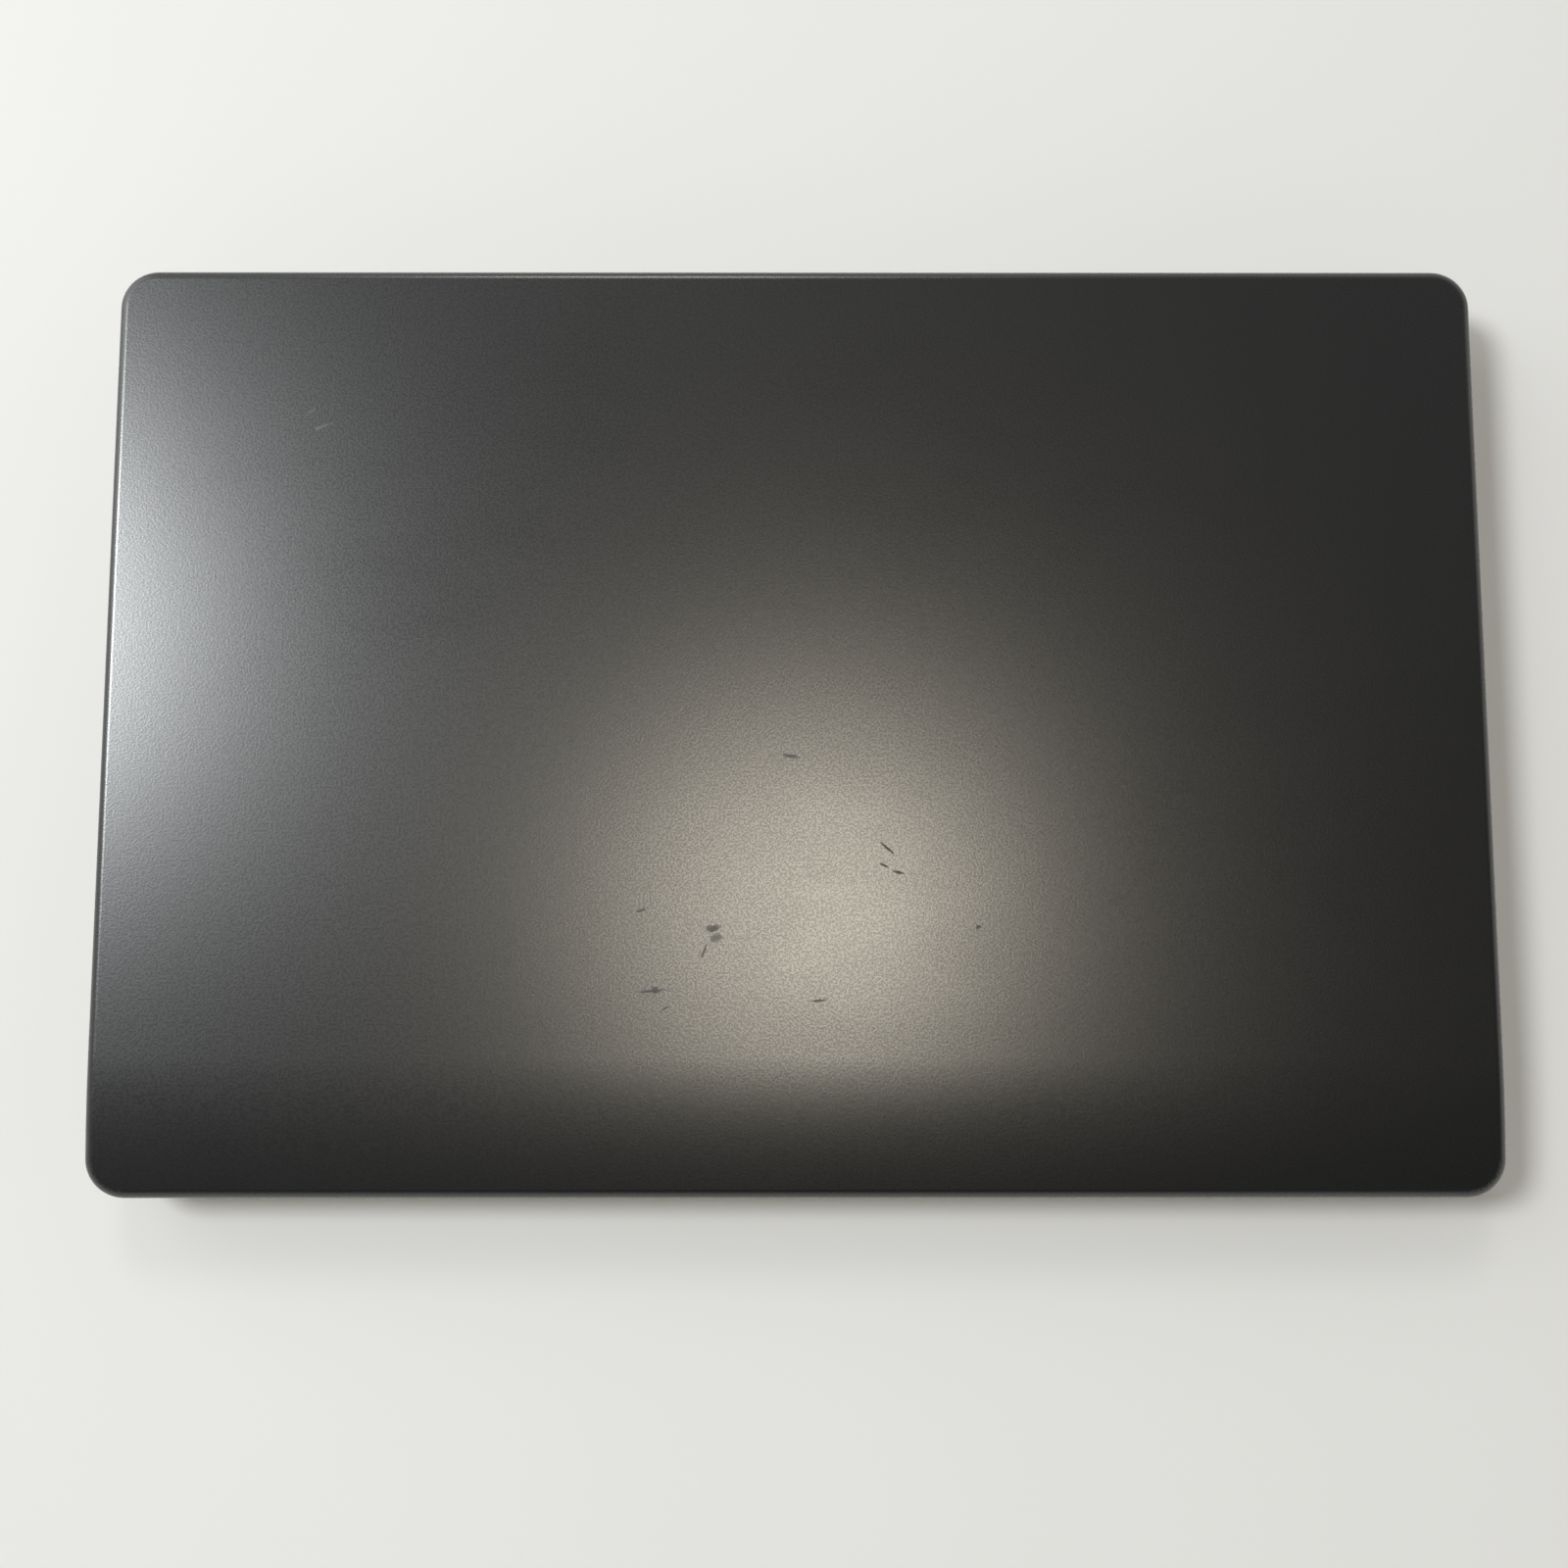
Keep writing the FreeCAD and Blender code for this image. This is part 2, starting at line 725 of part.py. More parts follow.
def keycap(x, y, dished):
    """Tapered shell, open below, whose top is dished across its width."""
    foot = rounded_wire(x, y, key_corner_radius, key_bottom_z)
    crown = rounded_wire(grown(x, -key_draft), grown(y, -key_draft), key_corner_radius, key_top_z)
    cap = Part.makeLoft([foot, crown], True, True)
    room_z = (key_bottom_z - 1, key_top_z - key_roof)
    cuts = [rounded_plate(key_room(x), key_room(y), key_corner_radius / 2, room_z)]
    if dished:
        half = (x[1] - x[0]) / 2
        radius = (half ** 2 + key_dish ** 2) / (2 * key_dish)
        axis_start = Vector(x[0] + half, y[0], key_top_z - key_dish + radius)
        cuts.append(Part.makeCylinder(radius, y[1] - y[0], axis_start, Vector(0, 1, 0)))
    return cap.cut(cuts)


def key_nodes():
    groups = {}
    for node, x, y in key_spans():
        groups.setdefault(node, []).append(keycap(x, y, node != "space_bar"))
    return {node: Part.makeCompound(keys) for node, keys in groups.items()}


def lattice_windows():
    """One window for each key, and one for each pair of half keys."""
    windows = [(x, y) for node, x, y in key_spans() if node != "arrow_keys"]
    halves = [(x, y) for node, x, y in key_spans() if node == "arrow_keys"]
    pairs = [(upper[0], (lower[1][0], upper[1][1])) for upper, lower in zip(halves[::2], halves[1::2])]
    return windows + pairs


def keyboard_lattice():
    window_x, window_y = keyboard_window()
    plate = box(grown(window_x, lattice_flange), grown(window_y, lattice_flange),
                (lattice_low_z, deck_under_z))
    skirt_z = (keyboard_plate_top_z, lattice_low_z)
    outer = box(window_x, window_y, skirt_z)
    inner_x = grown(window_x, -lattice_skirt)
    inner_y = grown(window_y, -lattice_skirt)
    skirt = outer.cut(box(inner_x, inner_y, skirt_z))
    through = (lattice_low_z - 1, deck_under_z + 1)
    holes = [box(grown(x, key_clearance), grown(y, key_clearance), through) for x, y in lattice_windows()]
    return joined(plate.cut(holes), skirt)


def standoff_places():
    x, y = board_spans()
    inset = 4 * standoff_radius
    rear = keyboard_window()[1][1] - standoff_radius
    return [(px, py) for px in (x[0] + inset, (x[0] + x[1]) / 2 - inset, right_edge() - inset)
            for py in (y[0] + inset, (y[0] + rear) / 2, rear)]


def keyboard_plate():
    """Steel plate with posts under it that carry the main board and the fan."""
    x, y = keyboard_window()
    plate = box(x, y, (keyboard_plate_low_z, keyboard_plate_top_z))
    posts = [rod_z(standoff_radius, (board_top_z, keyboard_plate_low_z), px, py)
             for px, py in standoff_places()]
    fan_x, fan_y = fan_middle()
    reach = fan_width / 2 - 3 * standoff_radius
    pads = [rod_z(standoff_radius, (fan_z()[1], keyboard_plate_low_z), fan_x + sx * reach, fan_y + sy * reach)
            for sx in (1, -1) for sy in (1, -1)]
    return joined(plate, *posts, *pads)


def keyboard_membrane():
    """Sheet with a rubber dome under each key, which fits the key's hollow when it is pressed."""
    x, y = keyboard_window()
    inset = lattice_skirt + seat_gap
    sheet = box(grown(x, -inset), grown(y, -inset), (keyboard_plate_top_z, membrane_top_z))
    domes = []
    for node, key_x, key_y in key_spans():
        room = key_room(key_y)
        radius = min(dome_radius, (room[1] - room[0]) / 2 - slide_gap)
        foot = Vector(sum(key_x) / 2, sum(key_y) / 2, membrane_top_z)
        domes.append(Part.makeCone(radius, radius * dome_taper, dome_height, foot))
    return joined(sheet, *domes)


# Touchpad, click buttons and power button
def touchpad_surface():
    low = touchpad_top_z - touchpad_thickness
    pad = rounded_plate(touchpad_x, touchpad_y, touchpad_corner_radius, (low, touchpad_top_z))
    flange_x = grown(touchpad_x, touchpad_flange)
    flange_y = (touchpad_y[0] + touchpad_corner_radius, touchpad_y[1] + touchpad_flange)
    flange = box(flange_x, flange_y, (deck_under_z - touchpad_flange_thickness, deck_under_z))
    return joined(pad, flange)


def click_button(side):
    x, y = click_window()
    middle = (x[0] + x[1]) / 2
    edge = x[1] if side > 0 else x[0]
    span = tuple(sorted((middle + side * click_gap / 2, edge - side * slide_gap)))
    return rounded_plate(span, grown((y[0], y[1] - click_gap), -slide_gap), touchpad_corner_radius / 2,
                         (click_low_z, touchpad_top_z))


def touchpad_bracket():
    x = grown(touchpad_x, touchpad_flange + slide_gap + bracket_wall)
    y = grown(click_window()[1], -slide_gap)
    plate = box(x, y, (bracket_top_z - bracket_thickness, bracket_top_z))
    walls = [box(span, y, (bracket_top_z, deck_under_z))
             for span in ((x[0], x[0] + bracket_wall), (x[1] - bracket_wall, x[1]))]
    return joined(plate, *walls)


def power_button():
    x = around(power_button_x, power_button_width)
    y = around(power_button_y, power_button_depth)
    z = (touchpad_top_z - power_button_height, touchpad_top_z)
    return rounded_plate(x, y, touchpad_corner_radius - slide_gap, z)


def power_button_board():
    top = touchpad_top_z - power_button_height - power_button_travel - slide_gap
    x = around(power_button_x, power_button_width + 4 * bracket_wall)
    y = around(power_button_y, power_button_depth - 2 * slide_gap)
    board = box(x, y, (top - power_board_thickness, top))
    legs = [box(span, y, (top, deck_under_z))
            for span in ((x[0], x[0] + bracket_wall), (x[1] - bracket_wall, x[1]))]
    return joined(board, *legs)


# Main board, hung under the keyboard, with its parts on the lower side
def board_spans():
    left = fan_middle()[0] + fan_width / 2 + board_fan_gap
    right = base_half_width - port_zone
    front = battery_spans()[1][1] + board_battery_gap
    return (left, right), (front, hinge_y - board_from_hinge)


def main_board():
    x, y = board_spans()
    z = (board_low_z, board_top_z)
    finger = box((-right_edge(), x[0]), (y[1] - board_finger_depth, y[1]), z)
    sheet = joined(box(x, y, z), finger)
    processor = box(around(processor_x, processor_width),
                    around(hinge_y - processor_from_hinge, processor_depth),
                    (board_low_z - processor_height, board_low_z))
    sockets = [box(around(right_edge() - memory_from_edge, memory_length), (span[1] - socket_depth, span[1]),
                   (board_low_z - socket_height, board_low_z)) for span in memory_rows()]
    ssd_x_span, ssd_y = ssd_spans()
    sockets.append(box((ssd_x_span[0] - socket_depth, ssd_x_span[0] + socket_depth / 2), ssd_y,
                       (board_low_z - socket_height, board_low_z)))
    sockets.append(rod_z(ssd_stud_radius, (board_low_z - socket_height, board_low_z),
                         ssd_x_span[1] - ssd_stud_radius, (ssd_y[0] + ssd_y[1]) / 2))
    wireless_x_span, wireless_y = wireless_spans()
    sockets.append(box((wireless_x_span[0] - socket_depth, wireless_x_span[0] + socket_depth / 2), wireless_y,
                       (board_low_z - socket_height, board_low_z)))
    posts = [rod_z(cold_plate_post_radius, (board_low_z - processor_height, board_low_z), px, py)
             for px, py in cold_plate_corners()]
    return joined(sheet, processor, plug_block(), *sockets, *posts)


def plug_block():
    """The socket on the board's upper side that takes the display cable."""
    end = cable_end()
    return box((end.x, end.x + plug_length), around(end.y, plug_width),
               (board_top_z, board_top_z + plug_height))


def right_edge():
    return board_spans()[0][1]


def memory_rows():
    first = hinge_y - memory_from_hinge
    return [(first + n * memory_spacing, first + n * memory_spacing + memory_depth) for n in range(2)]


def memory_modules():
    modules = []
    top = board_low_z - socket_height
    x = around(right_edge() - memory_from_edge, memory_length)
    step = memory_length / memory_chip_count
    chip = step * memory_chip_share
    for y in memory_rows():
        card = box(x, y, (top - memory_thickness, top))
        chips = [box(around(x[0] + (n + 0.5) * step, chip),
                     around((y[0] + y[1]) / 2 - socket_depth / 2, chip),
                     (top - memory_thickness - memory_chip_height, top - memory_thickness))
                 for n in range(memory_chip_count)]
        modules.append(joined(card, *chips))
    return Part.makeCompound(modules)


def ssd_spans():
    return around(ssd_x, ssd_length), around(hinge_y - ssd_from_hinge, ssd_width)


def ssd_module():
    x, y = ssd_spans()
    top = board_low_z - socket_height
    card = box(x, y, (top - ssd_thickness, top))
    chip = ssd_width * ssd_chip_share
    chips = [box(around(x[0] + ssd_length * place, chip), around((y[0] + y[1]) / 2, chip),
                 (top - ssd_thickness - ssd_chip_height, top - ssd_thickness)) for place in ssd_chip_places]
    return joined(card, *chips)


def wireless_spans():
    return around(wireless_x, wireless_length), around(hinge_y - wireless_from_hinge, wireless_width)


def wireless_card():
    x, y = wireless_spans()
    top = board_low_z - socket_height
    card = box(x, y, (top - ssd_thickness, top))
    shield = box((x[0] + socket_depth, x[1] - wireless_border), grown(y, -wireless_border),
                 (top - ssd_thickness - ssd_chip_height, top - ssd_thickness))
    return joined(card, shield)


def coin_cell():
    y = hinge_y - coin_cell_from_hinge
    x = right_edge() - coin_cell_from_edge
    cell = rod_z(coin_cell_radius, (board_low_z - coin_cell_height, board_low_z), x, y)
    return cell.makeChamfer(coin_cell_height / 8, edges_at(cell, board_low_z - coin_cell_height))


# Cooling: a blower, a stack of fins at the left wall and a flat heat pipe under both
def heat_pipe_z():
    top = board_low_z - processor_height - cold_plate_thickness
    return (top - heat_pipe_thickness, top)


def cold_plate_spans():
    return around(processor_x, cold_plate_width), around(hinge_y - processor_from_hinge, cold_plate_depth)


def cold_plate_corners():
    x, y = cold_plate_spans()
    return [(px, py) for px in x for py in y]


def cold_plate():
    """Copper plate with a round ear at each corner, which stands on a post of the board."""
    x, y = cold_plate_spans()
    top = board_low_z - processor_height
    z = (top - cold_plate_thickness, top)
    ears = [rod_z(cold_plate_ear_radius, z, px, py) for px, py in cold_plate_corners()]
    return joined(box(x, y, z), *ears)


def fin_spans():
    inner = base_half_width - base_wall - seat_gap
    return (-inner, fin_stack_width - inner), around(hinge_y - fan_from_hinge, fin_stack_depth)


def fin_stack():
    x, y = fin_spans()
    low = heat_pipe_z()[1]
    z = (low, keyboard_plate_low_z - fan_room)
    plate = box(x, y, (low, low + fin_plate_thickness))
    step = (fin_stack_depth - fin_thickness) / (fin_count - 1)
    fins = [box(x, (y[0] + n * step, y[0] + n * step + fin_thickness), z) for n in range(fin_count)]
    return joined(plate, *fins)


def heat_pipe():
    """Runs from the processor towards the left wall and bends forward under the fins."""
    z = heat_pipe_z()
    fin_x, fin_y = fin_spans()
    along_y = hinge_y - processor_from_hinge
    down_x = fin_x[1] - heat_pipe_width / 2
    level = (z[0] + z[1]) / 2
    start = Vector(cold_plate_spans()[0][1], along_y, level)
    bend_start = Vector(down_x + heat_pipe_bend, along_y, level)
    bend_end = Vector(down_x, along_y - heat_pipe_bend, level)
    centre = Vector(down_x + heat_pipe_bend, along_y - heat_pipe_bend, level)
    bend_middle = centre + Vector(-1, 1, 0).normalize() * heat_pipe_bend
    path = Part.Wire([Part.makeLine(start, bend_start), Part.Arc(bend_start, bend_middle, bend_end).toShape(),
                      Part.makeLine(bend_end, Vector(down_x, fin_y[0], level))])
    section = rounded_wire(around(along_y, heat_pipe_width), z, heat_pipe_edge, start.x)
    section.rotate(Vector(0, 0, 0), Vector(1, 1, 1), 120)
    return path.makePipeShell([section], True, False)


def fan_z():
    return (cover_top_z + fan_room, keyboard_plate_low_z - fan_room)


def fan_housing():
    x, y = fan_middle()
    z = fan_z()
    span_x = around(x, fan_width)
    span_y = around(y, fan_width)
    case = rounded_plate(span_x, span_y, fan_width / 8, z)
    room = rod_z(fan_rotor_radius + fan_running_gap, grown(z, -fan_shell), x, y)
    outlet = box((span_x[0] - 1, x), around(y, fin_stack_depth), grown(z, -fan_shell))
    inlet = rod_z(fan_inlet_radius, (z[0] - 1, z[0] + fan_shell + 1), x, y)
    hollow = joined(room, outlet)
    case = case.cut([hollow, inlet])
    bearing_low = z[0] + fan_shell + 2 * fan_running_gap + fan_hub_wall
    bearing = rod_z(fan_hub_radius / 3, (bearing_low, z[1] - fan_shell), x, y)
    axle_hole = rod_z(fan_axle_radius + running_gap, (z[0], z[1] - fan_shell), x, y)
    return joined(case, bearing).cut(axle_hole)


def fan_rotor():
    x, y = fan_middle()
    z = grown(fan_z(), -fan_shell - fan_running_gap)
    hub = rod_z(fan_hub_radius, z, x, y)
    bowl = rod_z(fan_hub_radius - fan_hub_wall, (z[0] + fan_hub_wall, z[1] + 1), x, y)
    axle = rod_z(fan_axle_radius, z, x, y)
    blades = []
    for n in range(fan_blade_count):
        blade = fan_blade(z)
        blade.rotate(Vector(0, 0, 0), Vector(0, 0, 1), 360 * n / fan_blade_count)
        blade.translate(Vector(x, y, 0))
        blades.append(blade)
    return joined(hub.cut(bowl), axle, *blades)


def fan_blade(z):
    """One blade about the origin, which sweeps back along an arc from the hub to the rim."""
    start = fan_hub_radius - fan_hub_wall / 2
    turn = math.radians(fan_blade_sweep)
    steps = [(start, 0), ((start + fan_rotor_radius) / 2, turn * fan_blade_bow), (fan_rotor_radius, turn)]

    def side(offset):
        turns = [(radius, angle + offset / radius) for radius, angle in steps]
        return [Vector(radius * math.cos(angle), radius * math.sin(angle), z[0]) for radius, angle in turns]

    near = side(-fan_blade_thickness / 2)
    far = side(fan_blade_thickness / 2)
    outline = [Part.Arc(*near).toShape(), Part.makeLine(near[2], far[2]), Part.Arc(*far[::-1]).toShape(),
               Part.makeLine(far[0], near[0])]
    return Part.Face(Part.Wire(outline)).extrude(Vector(0, 0, z[1] - z[0]))


# Battery and speakers
def battery_spans():
    y = (base_front_y + battery_from_front + base_wall, keyboard_front_y - battery_cell_gap)
    half = speaker_middle(1)[0] - speaker_width / 2 - battery_speaker_gap
    return (-half, half), y


def battery_pack():
    x, y = battery_spans()
    low = cover_top_z
    top = bracket_top_z - bracket_thickness - battery_room
    frame = box(x, y, (low, low + battery_frame_height))
    cell_width = (x[1] - x[0] - (battery_cells + 1) * battery_cell_gap) / battery_cells
    cells = []
    for n in range(battery_cells):
        start = x[0] + battery_cell_gap + n * (cell_width + battery_cell_gap)
        cells.append(rounded_plate((start, start + cell_width), grown(y, -battery_cell_gap), battery_cell_gap,
                                   (low, top)))
    return joined(frame, *cells)


def speaker_middle(side):
    x = side * (base_half_width - base_wall - 3 * screw_boss_radius - speaker_width / 2)
    return x, base_front_y + speaker_from_front + speaker_depth / 2


def speakers():
    boxes = []
    for side in (1, -1):
        x, y = speaker_middle(side)
        z = (cover_top_z, port_z)
        case = rounded_plate(around(x, speaker_width), around(y, speaker_depth), battery_cell_gap, z)
        cone = Part.makeCone(speaker_cone_radius, speaker_cone_radius / 2, speaker_cone_radius / 4,
                             Vector(x, y, z[0]))
        boxes.append(case.cut(cone))
    return Part.makeCompound(boxes)


# Ports in the side walls
def network_body_z():
    top = deck_under_z - slide_gap
    return (top - network_height - network_latch_height - 2 * port_shell, top)


def network_cut():
    return box(side_span(1, -1, base_wall + 2),
               around(hinge_y - network_from_hinge, network_width + 2 * (port_shell + port_wall_gap)),
               grown(network_body_z(), port_wall_gap))


def port_shell_box(side, from_hinge, width, height, depth):
    x = side_span(side, port_face_inset, depth)
    return box(x, around(hinge_y - from_hinge, width), around(port_z, height))


def port_pocket(side, from_hinge, width, height, depth):
    x = side_span(side, -1, depth + 1 + port_face_inset)
    return box(x, around(hinge_y - from_hinge, width), around(port_z, height))


def usb_port(side, from_hinge):
    depth = port_zone - port_face_inset
    shell = port_shell_box(side, from_hinge, usb_width + 2 * port_shell, usb_height + 2 * port_shell, depth)
    pocket_depth = depth - 2 * port_shell
    pocket = port_pocket(side, from_hinge, usb_width, usb_height, pocket_depth)
    tongue_x = side_span(side, port_face_inset + 2 * port_shell, depth - 2 * port_shell)
    tongue_z = around(port_z + usb_height / 4 - port_shell / 2, usb_tongue)
    tongue = box(tongue_x, around(hinge_y - from_hinge, usb_width * tongue_share), tongue_z)
    return joined(shell.cut(pocket), tongue)


def usb_ports():
    return Part.makeCompound([usb_port(1, right_usb_from_hinge), usb_port(1, front_usb_from_hinge),
                              usb_port(-1, left_usb_from_hinge)])


def usb_c_port():
    depth = port_zone - port_face_inset
    y = hinge_y - usb_c_from_hinge
    x = side_span(-1, port_face_inset, depth)
    pocket_x = side_span(-1, -1, depth + 1 - 2 * port_shell)
    shell = rounded_bar(x, around(y, usb_c_width + 2 * port_shell),
                        around(port_z, usb_c_height + 2 * port_shell), usb_c_height / 2 + port_shell / 2)
    pocket = rounded_bar(pocket_x, around(y, usb_c_width), around(port_z, usb_c_height), usb_c_height / 2)
    tongue_x = side_span(-1, 2 * port_shell, depth - 2 * port_shell)
    tongue = box(tongue_x, around(y, usb_c_width * tongue_share), around(port_z, usb_c_tongue))
    return joined(shell.cut(pocket), tongue)


def hdmi_port():
    depth = port_zone - port_face_inset
    y = hinge_y - hdmi_from_hinge
    shell = port_shell_box(1, hdmi_from_hinge, hdmi_width + 2 * port_shell, hdmi_height + 2 * port_shell,
                           depth)
    x = side_span(1, -1, depth + 1 - 2 * port_shell)
    low, high = around(port_z, hdmi_height)
    left, right = around(y, hdmi_width)
    step = hdmi_height / 3
    points = [Vector(x[0], left, high), Vector(x[0], right, high), Vector(x[0], right, low + step),
              Vector(x[0], right - step, low), Vector(x[0], left + step, low), Vector(x[0], left, low + step)]
    pocket = polygon_prism(points, Vector(x[1] - x[0], 0, 0))
    tongue_x = side_span(1, 2 * port_shell, depth - 2 * port_shell)
    tongue = box(tongue_x, around(y, hdmi_width * tongue_share), around(port_z, hdmi_tongue))
    return joined(shell.cut(pocket), tongue)


def network_jack():
    depth = port_zone - port_face_inset
    y = hinge_y - network_from_hinge
    z = network_body_z()
    body = box(side_span(1, port_face_inset, depth), around(y, network_width + 2 * port_shell), z)
    pocket_x = side_span(1, -1, depth + 1 - 2 * port_shell)
    pocket = box(pocket_x, around(y, network_width), (z[1] - port_shell - network_height, z[1] - port_shell))
    latch = box(pocket_x, around(y, network_latch_width), grown(z, -port_shell))
    return body.cut([pocket, latch])


def headphone_jack():
    depth = port_zone - port_face_inset
    y = hinge_y - headphone_from_hinge
    inner_x = side_span(1, base_wall + slide_gap, port_zone - base_wall - slide_gap)
    body = box(inner_x, around(y, headphone_body_width), around(port_z, headphone_body_height))
    collar = rod_x(headphone_body_height / 2, side_span(1, port_face_inset, depth / 2), y, port_z)
    bore = rod_x(headphone_bore_radius, side_span(1, -1, depth), y, port_z)
    return joined(body, collar).cut(bore)


def power_jack():
    depth = port_zone - port_face_inset
    y = hinge_y - power_jack_from_hinge
    body = port_shell_box(-1, power_jack_from_hinge, power_jack_body, power_jack_body, depth)
    bore = rod_x(power_jack_bore_radius, side_span(-1, -1, depth), y, port_z)
    pin = rod_x(power_jack_pin_radius, side_span(-1, 4 * port_shell, depth - 4 * port_shell), y, port_z)
    return joined(body.cut(bore), pin)


def card_slot():
    depth = port_zone - port_face_inset
    y = hinge_y - card_slot_from_hinge
    inner_x = side_span(1, base_wall + slide_gap, port_zone - base_wall - slide_gap)
    body = box(inner_x, around(y, card_slot_width + 4 * port_shell),
               around(port_z, card_slot_height + 4 * port_shell))
    slot = box(side_span(1, 0, depth - 2 * port_shell), around(y, card_slot_width),
               around(port_z, card_slot_height))
    return body.cut(slot)


def lock_slot_plate():
    y = hinge_y - lock_from_hinge
    x = side_span(1, base_wall, lock_plate_thickness)
    plate = box(x, around(y, lock_plate_width), around(port_z, lock_plate_height))
    slot = box(grown(x, 1), around(y, lock_slot_width), around(port_z, lock_slot_height))
    return plate.cut(slot)


def status_light():
    pipe = box(around(status_light_x, status_light_width),
               (base_front_y + port_face_inset, base_front_y + status_light_depth),
               around(port_z, status_light_height))
    flange = box(around(status_light_x, status_light_width + 2 * status_light_flange),
                 (base_front_y + base_wall, base_front_y + base_wall + status_light_flange),
                 around(port_z, status_light_height + 2 * status_light_flange))
    return joined(pipe, flange)


# Hinges: a steel plate under the deck carries the eye, and a shaft fixed to the lid's plate turns in it
def hinge_base_plate_spans():
    outer = notch_inner_x - hinge_notch_wall - slide_gap
    rear = hinge_y
    return (outer - hinge_base_plate_length, outer), (rear - hinge_base_plate_depth, rear)


def hinge_eye_x():
    x = hinge_base_plate_spans()[0]
    return around((x[0] + x[1]) / 2 + hinge_eye_thickness, hinge_eye_thickness)


def hinge_base_plate():
    x, y = hinge_base_plate_spans()
    z = (deck_under_z - hinge_plate_thickness, deck_under_z)
    plate = box(x, y, z)
    eye_x = hinge_eye_x()
    web = box(eye_x, (y[0] + hinge_eye_radius, hinge_y), (hinge_z, deck_under_z))
    eye = rod_x(hinge_eye_radius, eye_x, hinge_y, hinge_z)
    hole = rod_x(hinge_shaft_radius + running_gap, grown(eye_x, 1), hinge_y, hinge_z)
    room = rod_x(hinge_eye_radius + slide_gap, (x[0] - 1, eye_x[0]), hinge_y, hinge_z)
    screws = [rod_z(hinge_screw_radius + running_gap, grown(z, 1), px, py) for px, py in base_screw_places()]
    return joined(plate, web, eye).cut([hole, room] + screws)


def base_screw_places():
    x, y = hinge_base_plate_spans()
    inset = 2 * hinge_screw_head_radius
    return [(x[0] + inset, y[0] + inset), (x[1] - inset, y[0] + inset)]


def hinge_shaft():
    """Fixed in the lid plate's ear, it passes through the eye and the washers to a riveted head."""
    head_x = hinge_eye_x()[0] - hinge_washer_count * hinge_washer_thickness
    head = rod_x(hinge_rivet_radius, (head_x - hinge_rivet_height, head_x), hinge_y, hinge_z)
    shaft_x = (head_x - hinge_rivet_height, hinge_ear_x()[1])
    return joined(head, rod_x(hinge_shaft_radius, shaft_x, hinge_y, hinge_z))


def hinge_ear_x():
    start = notch_inner_x + hinge_ear_inset
    return (start, start + hinge_ear_thickness)


def hinge_washers():
    washers = []
    end = hinge_eye_x()[0]
    for n in range(hinge_washer_count):
        x = (end - (n + 1) * hinge_washer_thickness, end - n * hinge_washer_thickness)
        disc = rod_x(hinge_washer_radius, x, hinge_y, hinge_z)
        washers.append(disc.cut(rod_x(hinge_shaft_radius + running_gap, grown(x, 1), hinge_y, hinge_z)))
    return washers


def hinge_lid_plate_spans():
    rear = lid_pocket_y[1] - seat_gap
    x = (notch_inner_x + hinge_cap_wall, notch_outer_x - hinge_cap_wall)
    return x, (rear - hinge_lid_plate_depth, rear)


def lid_screw_places():
    x, y = hinge_lid_plate_spans()
    inset = 2 * hinge_screw_head_radius
    return [(px, y[0] + inset) for px in (x[0] + inset, (x[0] + x[1]) / 2, x[1] - inset)]


def hinge_lid_plate():
    x, y = hinge_lid_plate_spans()
    z = (lid_inner_z - hinge_plate_thickness, lid_inner_z)
    plate = box(x, y, z)
    ear_x = hinge_ear_x()
    arm = box(ear_x, around(hinge_y, 2 * hinge_eye_radius), (hinge_z, lid_inner_z))
    eye = rod_x(hinge_eye_radius, ear_x, hinge_y, hinge_z)
    hole = rod_x(hinge_shaft_radius, grown(ear_x, 1), hinge_y, hinge_z)
    screws = [rod_z(hinge_screw_radius + running_gap, grown(z, 1), px, py) for px, py in lid_screw_places()]
    return joined(plate, arm, eye).cut([hole] + screws)


def hinge_cap():
    """Half-round cover over the ear and shaft, joined to the lid's lower face."""
    x = (notch_inner_x + hinge_notch_gap, notch_outer_x - hinge_notch_gap)
    inner_x = grown(x, -hinge_cap_wall)
    inner_radius = hinge_drop - hinge_cap_wall
    outer = joined(rod_x(hinge_drop, x, hinge_y, hinge_z),
                   box(x, around(hinge_y, 2 * hinge_drop), (hinge_z, lid_bottom_z)))
    inner = joined(rod_x(inner_radius, inner_x, hinge_y, hinge_z),
                   box(inner_x, around(hinge_y, 2 * inner_radius), (hinge_z, lid_bottom_z + 1)))
    shaft_hole = rod_x(hinge_shaft_radius + slide_gap, (x[0] - 1, inner_x[0] + 1), hinge_y, hinge_z)
    return outer.cut([inner, shaft_hole])


def left_hinge_cap():
    x = (-notch_outer_x - 1, 1 - notch_outer_x + hinge_notch_gap + hinge_cap_wall)
    return mirrored(hinge_cap()).cut(rod_x(cable_radius + cable_hole_gap, x, hinge_y, hinge_z))


def both_sides(part):
    return Part.makeCompound([part, mirrored(part)])


def hinge_screws(places, seat_z, length):
    z = (seat_z - hinge_screw_head_height, seat_z + length)
    right = [crossed_screw(x, y, z, hinge_screw_head_radius, hinge_screw_head_height, hinge_screw_radius)
             for x, y in places]
    return Part.makeCompound(right + [mirrored(screw) for screw in right])


# Lid: a shallow dish for the back, the panel in it and a bezel that closes it
def lid_screw_holes():
    z = (lid_inner_z - 1, lid_inner_z + lid_skin / 2 + running_gap)
    right = [rod_z(hinge_screw_radius + running_gap, z, x, y) for x, y in lid_screw_places()]
    return right + [mirrored(hole) for hole in right]


def camera_board_z():
    low = bezel_top_z + camera_board_thickness
    return (low, low + camera_board_thickness)


